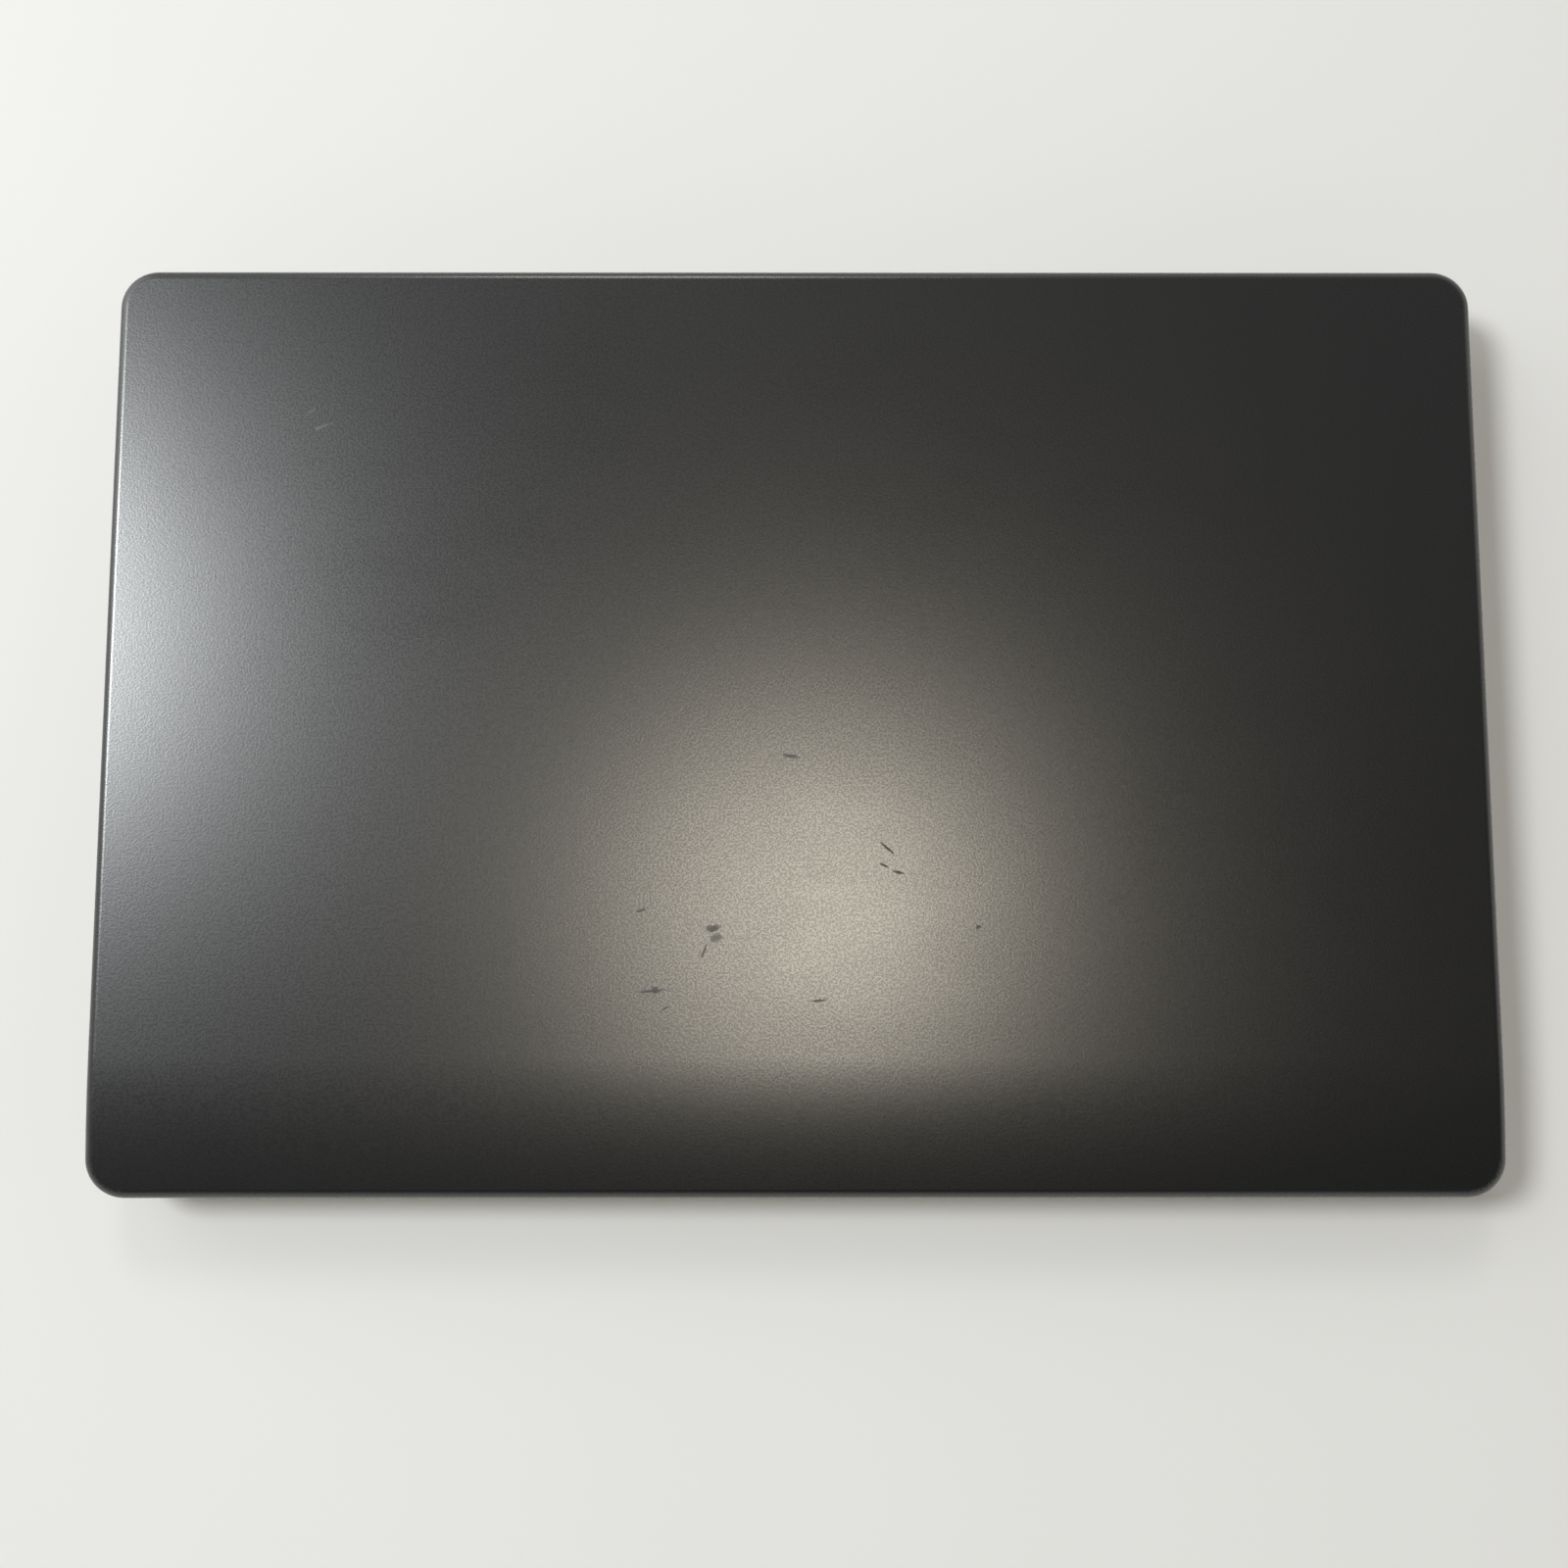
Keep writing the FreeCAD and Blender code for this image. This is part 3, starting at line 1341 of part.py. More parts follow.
def lid_side_profile():
    """Flat top that rolls down gently towards the front edge."""
    front = -lid_depth / 2
    radius = (lid_front_roll ** 2 + lid_front_drop ** 2) / (2 * lid_front_drop)
    tangent = Vector(-lid_width / 2, front + lid_front_roll, lid_top_z)
    edge = Vector(-lid_width / 2, front, lid_top_z - lid_front_drop)
    half_turn = math.asin(lid_front_roll / radius) / 2
    middle = tangent + Vector(0, -radius * math.sin(half_turn), radius * (math.cos(half_turn) - 1))
    rear_top = Vector(-lid_width / 2, lid_depth / 2, lid_top_z)
    rear_low = Vector(-lid_width / 2, lid_depth / 2, lid_bottom_z)
    front_low = Vector(-lid_width / 2, front, lid_bottom_z)
    edges = [Part.Arc(tangent, middle, edge).toShape(), Part.makeLine(edge, front_low),
             Part.makeLine(front_low, rear_low), Part.makeLine(rear_low, rear_top),
             Part.makeLine(rear_top, tangent)]
    return Part.Face(Part.Wire(edges)).extrude(Vector(lid_width, 0, 0))


def top_outline(shape):
    """Upper edges that lie between the top of the lid and its sides."""
    found = []
    for edge in shape.Edges:
        middle = edge.valueAt((edge.FirstParameter + edge.LastParameter) / 2)
        across = edge.BoundBox.XLength > lid_width - 3 * lid_corner_radius
        roll_start = across and abs(middle.y - lid_front_roll + lid_depth / 2) < running_gap
        if middle.z > lid_top_z - lid_front_drop - running_gap and not roll_start:
            found.append(edge)
    return found


def lid_back_cover():
    x = around(0, lid_width)
    y = around(0, lid_depth)
    dish = rounded_plate(x, y, lid_corner_radius, (lid_bottom_z, lid_top_z)).common(lid_side_profile())
    dish = dish.makeFillet(lid_edge_round, top_outline(dish))
    dish = dish.makeChamfer(lid_rim_chamfer, edges_at(dish, lid_bottom_z))
    room = lid_side_profile()
    room.translate(Vector(0, 0, -lid_front_skin))
    pocket = rounded_plate(lid_pocket_x, lid_pocket_y, lid_corner_radius - lid_wall,
                           (lid_bottom_z - lid_front_skin, lid_inner_z)).common(room)
    rib_y = around(camera_y, camera_board_width)
    ribs = [box(around(side * camera_board_length / 3, camera_board_width), rib_y,
                (camera_board_z()[1], lid_inner_z)).common(dish) for side in (1, -1)]
    return joined(dish.cut([pocket] + lid_screw_holes()), *ribs)


def shutter_spans():
    x = (shutter_from_lens, shutter_from_lens + shutter_length)
    return x, around(camera_y, shutter_width), (bezel_top_z - shutter_thickness, bezel_top_z)


def shutter_tab_spans():
    x = shutter_spans()[0]
    tab_x = (x[1] - shutter_tab_from_end - shutter_tab_length, x[1] - shutter_tab_from_end)
    return tab_x, around(camera_y, shutter_tab_width)


def screen_bezel():
    plate = rounded_plate(grown(lid_pocket_x, -seat_gap), grown(lid_pocket_y, -seat_gap),
                          lid_corner_radius - lid_wall - seat_gap, (lid_bottom_z, bezel_top_z))
    through = (lid_bottom_z - 1, bezel_top_z + 1)
    window = Part.makeLoft([rounded_wire(grown(screen_x, bezel_bevel), grown(screen_y, bezel_bevel),
                                         lid_rim_chamfer + bezel_bevel, lid_bottom_z),
                            rounded_wire(screen_x, screen_y, lid_rim_chamfer, bezel_top_z)], True, True)
    lens_hole = rod_z(camera_window_radius, through, 0, camera_y)
    x, y, z = shutter_spans()
    pocket_x = (x[0] - shutter_travel - slide_gap, x[1] + slide_gap)
    pocket = box(pocket_x, grown(y, slide_gap), (z[0] - running_gap, bezel_top_z + 1))
    tab_x, tab_y = shutter_tab_spans()
    slot_x = (tab_x[0] - shutter_travel - slide_gap, tab_x[1] + slide_gap)
    slot = box(slot_x, grown(tab_y, slide_gap), through)
    ear_inset = hinge_notch_gap + hinge_cap_wall
    ear_x = (notch_inner_x + ear_inset, notch_outer_x - ear_inset)
    ear = box(ear_x, around(hinge_y, 2 * (hinge_eye_radius + seat_gap)), through)
    return plate.cut([window, lens_hole, pocket, slot, ear, mirrored(ear)])


def camera_shutter():
    x, y, z = shutter_spans()
    plate = box(x, y, (z[0], z[1] - running_gap))
    tab_x, tab_y = shutter_tab_spans()
    return joined(plate, box(tab_x, tab_y, (lid_bottom_z + running_gap, z[0])))


def camera_module():
    board = box(around(0, camera_board_length), around(camera_y, camera_board_width), camera_board_z())
    barrel = rod_z(camera_barrel_radius, (bezel_top_z + running_gap, camera_board_z()[0]), 0, camera_y)
    return joined(board, barrel)


def lcd_panel():
    glass = box(panel_x, panel_y, (bezel_top_z, panel_back_z))
    length = panel_x[1] - panel_x[0] - 2 * panel_tape_from_edge
    board = box(around(0, length), (panel_y[1], panel_y[1] + driver_board_depth),
                (bezel_top_z, bezel_top_z + driver_board_thickness))
    return joined(glass, board)


def panel_tapes():
    y = around((panel_y[0] + panel_y[1]) / 2, panel_tape_length)
    right = box(around(panel_x[1] - panel_tape_from_edge, panel_tape_width), y, (panel_back_z, lid_inner_z))
    return both_sides(right)


def antennas():
    right = box(around(antenna_from_middle, antenna_length), around(camera_y, antenna_width),
                (bezel_top_z, bezel_top_z + antenna_thickness))
    return both_sides(right)


def lid_bumpers():
    x = lid_pocket_x[1] - bumper_from_corner
    rear = lid_pocket_y[1] - hinge_lid_plate_depth - bumper_from_corner
    front = (lid_pocket_y[0] + screen_y[0]) / 2
    places = [(x, front), (-x, front), (lid_width / 6, front), (-lid_width / 6, front), (x, rear), (-x, rear)]
    return Part.makeCompound([rod_z(bumper_radius, (deck_z, lid_bottom_z), px, py) for px, py in places])


# Display cable: down the left hinge cap, out along the hinge line and on to the main board
def cable(points):
    edges = []
    start = points[0]
    for before, corner, after in zip(points, points[1:], points[2:]):
        inward = (before - corner).normalize()
        outward = (after - corner).normalize()
        half_turn = inward.getAngle(outward) / 2
        reach = cable_bend / math.tan(half_turn)
        first = corner + inward * reach
        last = corner + outward * reach
        towards = (inward + outward).normalize()
        middle = corner + towards * (cable_bend / math.sin(half_turn) - cable_bend)
        edges.append(Part.makeLine(start, first))
        edges.append(Part.Arc(first, middle, last).toShape())
        start = last
    edges.append(Part.makeLine(start, points[-1]))
    path = Part.Wire(edges)
    ring = Part.Wire(Part.makeCircle(cable_radius, points[0], (points[1] - points[0]).normalize()))
    return path.makePipeShell([ring], True, False)


def cable_middle_z():
    return (bezel_top_z + lid_inner_z - hinge_plate_thickness) / 2


def lid_cable():
    z = cable_middle_z()
    start_y = panel_y[1] + driver_board_depth
    across_y = hinge_y - hinge_eye_radius - cable_radius - cable_bend
    down_x = -notch_outer_x + hinge_notch_length / 4
    end_x = -notch_outer_x + (hinge_notch_gap + cable_joint_gap) / 2
    return cable([Vector(-notch_inner_x / 2, start_y, z), Vector(-notch_inner_x / 2, across_y, z),
                  Vector(down_x, across_y, z), Vector(down_x, hinge_y, z),
                  Vector(down_x, hinge_y, hinge_z), Vector(end_x, hinge_y, hinge_z)])


def cable_end():
    corner_x = -notch_outer_x - hinge_notch_wall - cable_bend - cable_radius
    rear = board_spans()[1][1]
    return Vector(corner_x + cable_bend + cable_radius + plug_width, rear - plug_width / 2, hinge_z)


def base_cable():
    start_x = -notch_outer_x + (hinge_notch_gap - cable_joint_gap) / 2
    end = cable_end()
    corner_x = -notch_outer_x - hinge_notch_wall - cable_bend
    return cable([Vector(start_x, hinge_y, hinge_z), Vector(corner_x, hinge_y, hinge_z),
                  Vector(corner_x, end.y, hinge_z), end])


nodes = {
    "bottom_cover": bottom_cover,
    "rubber_feet": rubber_feet,
    "bottom_screws": bottom_screws,
    "chassis_frame": chassis_frame,
    "palmrest_cover": palmrest_cover,
    "keyboard_lattice": keyboard_lattice,
    "keyboard_plate": keyboard_plate,
    "keyboard_membrane": keyboard_membrane,
    "touchpad_surface": touchpad_surface,
    "left_click_button": lambda: click_button(-1),
    "right_click_button": lambda: click_button(1),
    "touchpad_bracket": touchpad_bracket,
    "power_button": power_button,
    "power_button_board": power_button_board,
    "main_board": main_board,
    "memory_modules": memory_modules,
    "ssd_module": ssd_module,
    "wireless_card": wireless_card,
    "coin_cell": coin_cell,
    "cold_plate": cold_plate,
    "heat_pipe": heat_pipe,
    "fin_stack": fin_stack,
    "fan_housing": fan_housing,
    "fan_rotor": fan_rotor,
    "battery_pack": battery_pack,
    "speakers": speakers,
    "usb_ports": usb_ports,
    "usb_c_port": usb_c_port,
    "hdmi_port": hdmi_port,
    "network_jack": network_jack,
    "headphone_jack": headphone_jack,
    "power_jack": power_jack,
    "card_slot": card_slot,
    "lock_slot_plate": lock_slot_plate,
    "status_light": status_light,
    "hinge_base_plates": lambda: both_sides(hinge_base_plate()),
    "hinge_base_screws": lambda: hinge_screws(base_screw_places(), deck_under_z - hinge_plate_thickness,
                                              hinge_plate_thickness + deck_thread),
    "hinge_washers": lambda: Part.makeCompound(hinge_washers() + [mirrored(w) for w in hinge_washers()]),
    "hinge_shafts": lambda: both_sides(hinge_shaft()),
    "hinge_lid_plates": lambda: both_sides(hinge_lid_plate()),
    "hinge_lid_screws": lambda: hinge_screws(lid_screw_places(), lid_inner_z - hinge_plate_thickness,
                                             hinge_plate_thickness + lid_skin / 2),
    "hinge_caps": lambda: Part.makeCompound([hinge_cap(), left_hinge_cap()]),
    "lid_back_cover": lid_back_cover,
    "screen_bezel": screen_bezel,
    "lcd_panel": lcd_panel,
    "panel_tapes": panel_tapes,
    "antennas": antennas,
    "camera_module": camera_module,
    "camera_shutter": camera_shutter,
    "lid_bumpers": lid_bumpers,
    "lid_cable": lid_cable,
    "base_cable": base_cable,
}


def main():
    os.makedirs("parts", exist_ok=True)
    shapes = {name: make() for name, make in nodes.items()}
    shapes.update(key_nodes())
    for name, shape in shapes.items():
        shape.exportStep(f"parts/{name}.step")
        state = "valid" if shape.isValid() else "BAD"
        print(name, len(shape.Solids), "solids", round(shape.Volume, 1), "mm3", state)
    print(len(shapes), "nodes")


main()
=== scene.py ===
import math

import bmesh
import bpy
from mathutils import Matrix, Vector
from mathutils.bvhtree import BVHTree


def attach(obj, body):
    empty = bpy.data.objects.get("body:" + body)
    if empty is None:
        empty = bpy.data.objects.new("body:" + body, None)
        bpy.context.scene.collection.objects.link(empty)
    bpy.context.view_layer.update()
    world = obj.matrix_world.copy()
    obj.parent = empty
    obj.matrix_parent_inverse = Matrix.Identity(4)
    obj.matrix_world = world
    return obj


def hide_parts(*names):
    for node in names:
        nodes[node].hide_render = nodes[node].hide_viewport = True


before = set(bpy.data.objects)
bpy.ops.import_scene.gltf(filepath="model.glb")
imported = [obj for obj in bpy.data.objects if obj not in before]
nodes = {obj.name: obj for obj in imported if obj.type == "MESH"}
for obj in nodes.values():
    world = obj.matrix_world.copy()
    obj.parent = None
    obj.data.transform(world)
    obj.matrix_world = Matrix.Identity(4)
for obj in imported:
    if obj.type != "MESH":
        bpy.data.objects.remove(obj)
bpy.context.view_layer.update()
mm = 0.001
print("frame loaded:", len(nodes), "nodes")


# small helpers for shader trees
def startMaterial(name):
    material = bpy.data.materials.new(name)
    material.use_nodes = True
    tree = material.node_tree
    shader = tree.nodes["Principled BSDF"]
    coords = tree.nodes.new("ShaderNodeTexCoord").outputs["Object"]
    return material, tree, shader, coords


def plug(tree, value, socket):
    if isinstance(value, bpy.types.NodeSocket):
        tree.links.new(value, socket)
    else:
        socket.default_value = value


def noiseAt(tree, coords, scale, detail=2.0, roughness=0.5, stretch=None):
    if stretch:
        coords = stretched(tree, coords, stretch)
    node = tree.nodes.new("ShaderNodeTexNoise")
    node.inputs["Scale"].default_value = scale
    node.inputs["Detail"].default_value = detail
    node.inputs["Roughness"].default_value = roughness
    tree.links.new(coords, node.inputs["Vector"])
    return node.outputs["Fac"]


def stretched(tree, coords, scale, location=(0, 0, 0), turn=0.0):
    node = tree.nodes.new("ShaderNodeMapping")
    node.vector_type = "TEXTURE"
    node.inputs["Location"].default_value = location
    node.inputs["Rotation"].default_value = (0, 0, turn)
    node.inputs["Scale"].default_value = scale
    tree.links.new(coords, node.inputs["Vector"])
    return node.outputs["Vector"]


def calc(tree, operation, first, second):
    node = tree.nodes.new("ShaderNodeMath")
    node.operation = operation
    plug(tree, first, node.inputs[0])
    plug(tree, second, node.inputs[1])
    return node.outputs[0]


def remap(tree, value, low, high, newLow, newHigh):
    node = tree.nodes.new("ShaderNodeMapRange")
    node.interpolation_type = "SMOOTHSTEP"
    for name, amount in (("From Min", low), ("From Max", high), ("To Min", newLow), ("To Max", newHigh)):
        node.inputs[name].default_value = amount
    plug(tree, value, node.inputs["Value"])
    return node.outputs["Result"]


def ramp(tree, value, low, high):
    return remap(tree, value, low, high, 0.0, 1.0)


def blendColour(tree, factor, first, second):
    node = tree.nodes.new("ShaderNodeMix")
    node.data_type = "RGBA"
    plug(tree, factor, node.inputs["Factor"])
    colourSockets = [s for s in node.inputs if s.type == "RGBA"]
    for value, socket in zip((first, second), colourSockets):
        plug(tree, value if isinstance(value, bpy.types.NodeSocket) else (*value, 1.0), socket)
    return [s for s in node.outputs if s.type == "RGBA"][0]


def bumpFrom(tree, height, distance, strength, under=None):
    node = tree.nodes.new("ShaderNodeBump")
    node.inputs["Strength"].default_value = strength
    node.inputs["Distance"].default_value = distance
    tree.links.new(height, node.inputs["Height"])
    if under:
        tree.links.new(under, node.inputs["Normal"])
    return node.outputs["Normal"]


def tint(colour, amount):
    return tuple(c * amount for c in colour)


# moulded plastic: fine spark-eroded grain and faint mottling
plastic = {"mottleScale": 38.0, "darker": 0.86, "lighter": 1.16, "roughnessSpread": 0.06, "grainStrength": 0.6}


def mouldedPlastic(name, colour, roughness, grain, grainDepth, specular=0.5):
    material, tree, shader, coords = startMaterial(name)
    mottle = noiseAt(tree, coords, plastic["mottleScale"], 3.0, 0.6)
    fine = noiseAt(tree, coords, grain, 2.0, 0.55)
    shade = blendColour(tree, ramp(tree, mottle, 0.3, 0.7), tint(colour, plastic["darker"]),
                        tint(colour, plastic["lighter"]))
    spread = plastic["roughnessSpread"]
    rough = remap(tree, mottle, 0.25, 0.75, roughness - spread, roughness + spread)
    plug(tree, shade, shader.inputs["Base Color"])
    plug(tree, rough, shader.inputs["Roughness"])
    plug(tree, bumpFrom(tree, fine, grainDepth, plastic["grainStrength"]), shader.inputs["Normal"])
    shader.inputs["Specular IOR Level"].default_value = specular
    return material


# rolled or plated metal with a faint brushed direction and dull patches
metal = {"along": (1.0, 0.02, 0.02), "streakScale": 900.0, "streakDepth": 0.00002, "streakStrength": 0.35,
         "stainScale": 60.0, "stainTint": 0.85, "smoother": 0.08, "rougher": 0.1}


def platedMetal(name, colour, roughness):
    material, tree, shader, coords = startMaterial(name)
    streaks = noiseAt(tree, coords, metal["streakScale"], 2.0, 0.6, stretch=metal["along"])
    stains = noiseAt(tree, coords, metal["stainScale"], 3.0, 0.6)
    shade = blendColour(tree, ramp(tree, stains, 0.35, 0.7), tint(colour, metal["stainTint"]), colour)
    smooth, rough = roughness - metal["smoother"], roughness + metal["rougher"]
    plug(tree, shade, shader.inputs["Base Color"])
    plug(tree, remap(tree, streaks, 0.3, 0.7, smooth, rough), shader.inputs["Roughness"])
    plug(tree, bumpFrom(tree, streaks, metal["streakDepth"], metal["streakStrength"]), shader.inputs["Normal"])
    shader.inputs["Metallic"].default_value = 1.0
    return material


# solder-masked board with copper tracks that show as paler lines under the mask
circuit = {"colour": (0.012, 0.045, 0.030), "trackTint": 2.2, "trackScale": 420.0, "patchScale": 45.0,
           "trackDepth": 0.00003, "trackStrength": 0.4}


def boardFinish(settings):
    material, tree, shader, coords = startMaterial("boardMask")
    cells = tree.nodes.new("ShaderNodeTexVoronoi")
    cells.feature = "DISTANCE_TO_EDGE"
    cells.inputs["Scale"].default_value = settings["trackScale"]
    tree.links.new(coords, cells.inputs["Vector"])
    tracks = remap(tree, cells.outputs["Distance"], 0.03, 0.06, 1.0, 0.0)
    patches = remap(tree, noiseAt(tree, coords, settings["patchScale"], 1.0), 0.45, 0.55, 0.0, 0.7)
    shade = blendColour(tree, calc(tree, "MULTIPLY", tracks, patches), settings["colour"],
                        tint(settings["colour"], settings["trackTint"]))
    plug(tree, shade, shader.inputs["Base Color"])
    plug(tree, remap(tree, patches, 0.0, 1.0, 0.32, 0.5), shader.inputs["Roughness"])
    plug(tree, bumpFrom(tree, tracks, settings["trackDepth"], settings["trackStrength"]), shader.inputs["Normal"])
    return material


# the lid's paint: near-black with a fine grain, hand smears and a few small scuffs
lidPaint = {
    "colour": (0.0058, 0.0059, 0.0064), "smear": (0.0086, 0.0085, 0.0084), "fleck": (0.016, 0.016, 0.0165),
    "roughness": 0.268, "handledRougher": 0.008, "handledSmoother": 0.012, "specular": 1.0,
    "speckleScale": 1900.0, "speckleDepth": 0.000018, "speckleStrength": 0.2, "speckleRoughness": 0.02,
    "speckleShare": 0.5, "top": 21.0 * mm, "scuffColour": (0.002, 0.002, 0.002), "scuffRoughness": 0.4,
    "scuffEdge": (0.6, 1.45), "scuffWobble": 0.9, "wobbleScale": 900.0, "scuffDepth": 0.00008,
    "scuffStrength": 0.5,
    "scuffs": [  # x, y, length, width in mm, turn in degrees, depth
        (-18.9, -48.0, 4.6, 2.0, 4, 0.5), (-18.3, -50.2, 3.4, 2.6, 20, 0.35), (-21.0, -53.3, 6.0, 0.6, 69, 0.4),
        (-32.2, -62.1, 2.2, 1.8, 0, 0.85), (-32.6, -62.2, 8.0, 0.7, 5, 0.6), (-35.5, -43.9, 3.0, 0.6, 20, 0.6),
        (-29.9, -66.2, 3.0, 0.6, 30, 0.5), (21.2, -29.8, 5.4, 0.6, -41, 0.75), (20.3, -33.6, 3.0, 0.6, -25, 0.6),
        (23.4, -35.2, 3.4, 0.7, -14, 0.7), (5.1, -64.4, 4.6, 0.6, 5, 0.5), (41.7, -47.7, 1.6, 1.2, 0, 0.5),
        (-0.9, -8.4, 4.4, 1.2, -8, 0.6), (-111.7, 70.3, 5.5, 0.9, 20, 0.5), (-114.6, 73.9, 3.0, 0.7, 35, 0.4),
    ],
}


def scuffMarks(tree, coords, settings):
    wobble = noiseAt(tree, coords, settings["wobbleScale"], 2.0)
    marks = None
    for x, y, length, width, turn, depth in settings["scuffs"]:
        local = stretched(tree, coords, (length * mm / 2, width * mm / 2, 1.0), (x * mm, y * mm, settings["top"]),
                          math.radians(turn))
        span = tree.nodes.new("ShaderNodeVectorMath")
        span.operation = "LENGTH"
        tree.links.new(local, span.inputs[0])
        reach = calc(tree, "ADD", span.outputs["Value"], calc(tree, "MULTIPLY", wobble, settings["scuffWobble"]))
        mark = remap(tree, reach, *settings["scuffEdge"], depth, 0.0)
        marks = mark if marks is None else calc(tree, "MAXIMUM", marks, mark)
    return marks


def lidPaintFinish(settings):
    material, tree, shader, coords = startMaterial("lidPaint")
    smears = noiseAt(tree, coords, 9.0, 4.0, 0.62, stretch=(1.0, 0.6, 1.0))
    wipes = noiseAt(tree, coords, 30.0, 3.0, 0.6, stretch=(1.8, 0.5, 1.0))
    handled = calc(tree, "MULTIPLY", ramp(tree, smears, 0.40, 0.75), remap(tree, wipes, 0.3, 0.7, 0.5, 1.0))
    base = blendColour(tree, handled, settings["colour"], settings["smear"])
    # speckle: the paint's fine orange-peel grain
    speckle = ramp(tree, noiseAt(tree, coords, settings["speckleScale"], 1.0), 0.34, 0.66)
    flecks = calc(tree, "MULTIPLY", speckle, settings["speckleShare"])
    base = blendColour(tree, flecks, base, settings["fleck"])
    marks = scuffMarks(tree, coords, settings)
    plug(tree, blendColour(tree, marks, base, settings["scuffColour"]), shader.inputs["Base Color"])
    rough = remap(tree, handled, 0.0, 1.0, settings["roughness"] + settings["handledRougher"],
                  settings["roughness"] - settings["handledSmoother"])
    spread = settings["speckleRoughness"]
    rough = calc(tree, "ADD", rough, remap(tree, speckle, 0.0, 1.0, spread, -spread))
    scuffed = calc(tree, "MULTIPLY", marks, settings["scuffRoughness"])
    plug(tree, calc(tree, "ADD", rough, scuffed), shader.inputs["Roughness"])
    grain = bumpFrom(tree, speckle, settings["speckleDepth"], settings["speckleStrength"])
    dents = bumpFrom(tree, marks, settings["scuffDepth"], settings["scuffStrength"], under=grain)
    plug(tree, dents, shader.inputs["Normal"])
    shader.inputs["Specular IOR Level"].default_value = settings["specular"]
    return material


# dark anti-glare screen with a faint pixel grain
antiGlare = {"dark": (0.004, 0.004, 0.005), "hazy": (0.009, 0.009, 0.010), "grainScale": 5200.0,
             "grainDepth": 0.000006, "hazeScale": 7.0}


def screenFinish(settings):
    material, tree, shader, coords = startMaterial("screenGlare")
    grain = noiseAt(tree, coords, settings["grainScale"], 1.0)
    haze = ramp(tree, noiseAt(tree, coords, settings["hazeScale"], 3.0, 0.6), 0.3, 0.75)
    plug(tree, blendColour(tree, haze, settings["dark"], settings["hazy"]), shader.inputs["Base Color"])
    plug(tree, remap(tree, grain, 0.3, 0.7, 0.20, 0.34), shader.inputs["Roughness"])
    plug(tree, bumpFrom(tree, grain, settings["grainDepth"], 0.3), shader.inputs["Normal"])
    return material


finishes = {
    "lid": lidPaintFinish(lidPaint),
    "shell": mouldedPlastic("shellPlastic", (0.022, 0.022, 0.024), 0.55, 2600.0, 0.00006),
    "deck": mouldedPlastic("deckPlastic", (0.020, 0.020, 0.022), 0.50, 3200.0, 0.00004),
    "bezel": mouldedPlastic("bezelPlastic", (0.013, 0.013, 0.014), 0.58, 3000.0, 0.00005),
    "key": mouldedPlastic("keyPlastic", (0.012, 0.012, 0.013), 0.48, 4200.0, 0.00002),
    "pad": mouldedPlastic("padFilm", (0.018, 0.018, 0.020), 0.42, 5200.0, 0.000015),
    "rubber": mouldedPlastic("footRubber", (0.016, 0.016, 0.016), 0.78, 1500.0, 0.00008, 0.3),
    "dark": mouldedPlastic("darkMoulding", (0.012, 0.012, 0.013), 0.5, 2200.0, 0.00004),
    "wrap": mouldedPlastic("cellWrap", (0.020, 0.020, 0.022), 0.38, 700.0, 0.00003),
    "film": mouldedPlastic("clearFilm", (0.42, 0.43, 0.44), 0.35, 900.0, 0.00002),
    "light": mouldedPlastic("lightPipe", (0.62, 0.63, 0.62), 0.3, 900.0, 0.00002),
    "cable": mouldedPlastic("cableJacket", (0.014, 0.014, 0.015), 0.6, 1800.0, 0.00004),
    "blackSteelAndGapShade": platedMetal("blackSteelAndGapShade", (0.06, 0.06, 0.065), 0.42),
    "steel": platedMetal("hingeSteel", (0.45, 0.45, 0.46), 0.36),
    "nickel": platedMetal("nickelShell", (0.58, 0.57, 0.55), 0.28),
    "gold": platedMetal("goldContact", (0.80, 0.60, 0.28), 0.25),
    "alloy": platedMetal("pressedAlloy", (0.55, 0.55, 0.56), 0.4),
    "copper": platedMetal("bareCopper", (0.62, 0.33, 0.22), 0.32),
    "board": boardFinish(circuit),
    "screen": screenFinish(antiGlare),
}
dressing = {
    "lid": "lid_back_cover",
    "shell": "bottom_cover chassis_frame hinge_caps",
    "deck": "palmrest_cover",
    "bezel": "screen_bezel keyboard_lattice camera_shutter",
    "key": "function_row_keys number_row_keys upper_letter_keys home_letter_keys lower_letter_keys modifier_keys"
           " space_bar arrow_keys power_button",
    "pad": "touchpad_surface left_click_button right_click_button",
    "rubber": "rubber_feet lid_bumpers",
    "dark": "network_jack headphone_jack power_jack card_slot fan_housing fan_rotor speakers",
    "wrap": "battery_pack",
    "film": "keyboard_membrane panel_tapes",
    "light": "status_light",
    "cable": "lid_cable base_cable",
    # the touchpad bracket's dark finish is partly its own black steel and partly painted shade, keeping the gaps
    # around the click buttons dark
    "blackSteelAndGapShade": "bottom_screws hinge_base_screws hinge_lid_screws touchpad_bracket",
    "steel": "hinge_base_plates hinge_lid_plates hinge_shafts hinge_washers lock_slot_plate coin_cell",
    "nickel": "usb_ports usb_c_port hdmi_port",
    "alloy": "keyboard_plate fin_stack",
    "copper": "heat_pipe cold_plate antennas",
    "board": "main_board memory_modules ssd_module wireless_card power_button_board camera_module",
    "screen": "lcd_panel",
}
for finish, names in dressing.items():
    for name in names.split():
        mesh = nodes[name].data
        mesh.materials.clear()
        mesh.materials.append(finishes[finish])
print("finishes set on", sum(len(names.split()) for names in dressing.values()), "nodes")


# new pieces
def addPiece(name, mesh, finish, body):
    piece = bpy.data.objects.new(name, mesh)
    bpy.context.scene.collection.objects.link(piece)
    if not mesh.materials:
        mesh.materials.append(finishes[finish])
    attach(piece, body)
    return piece


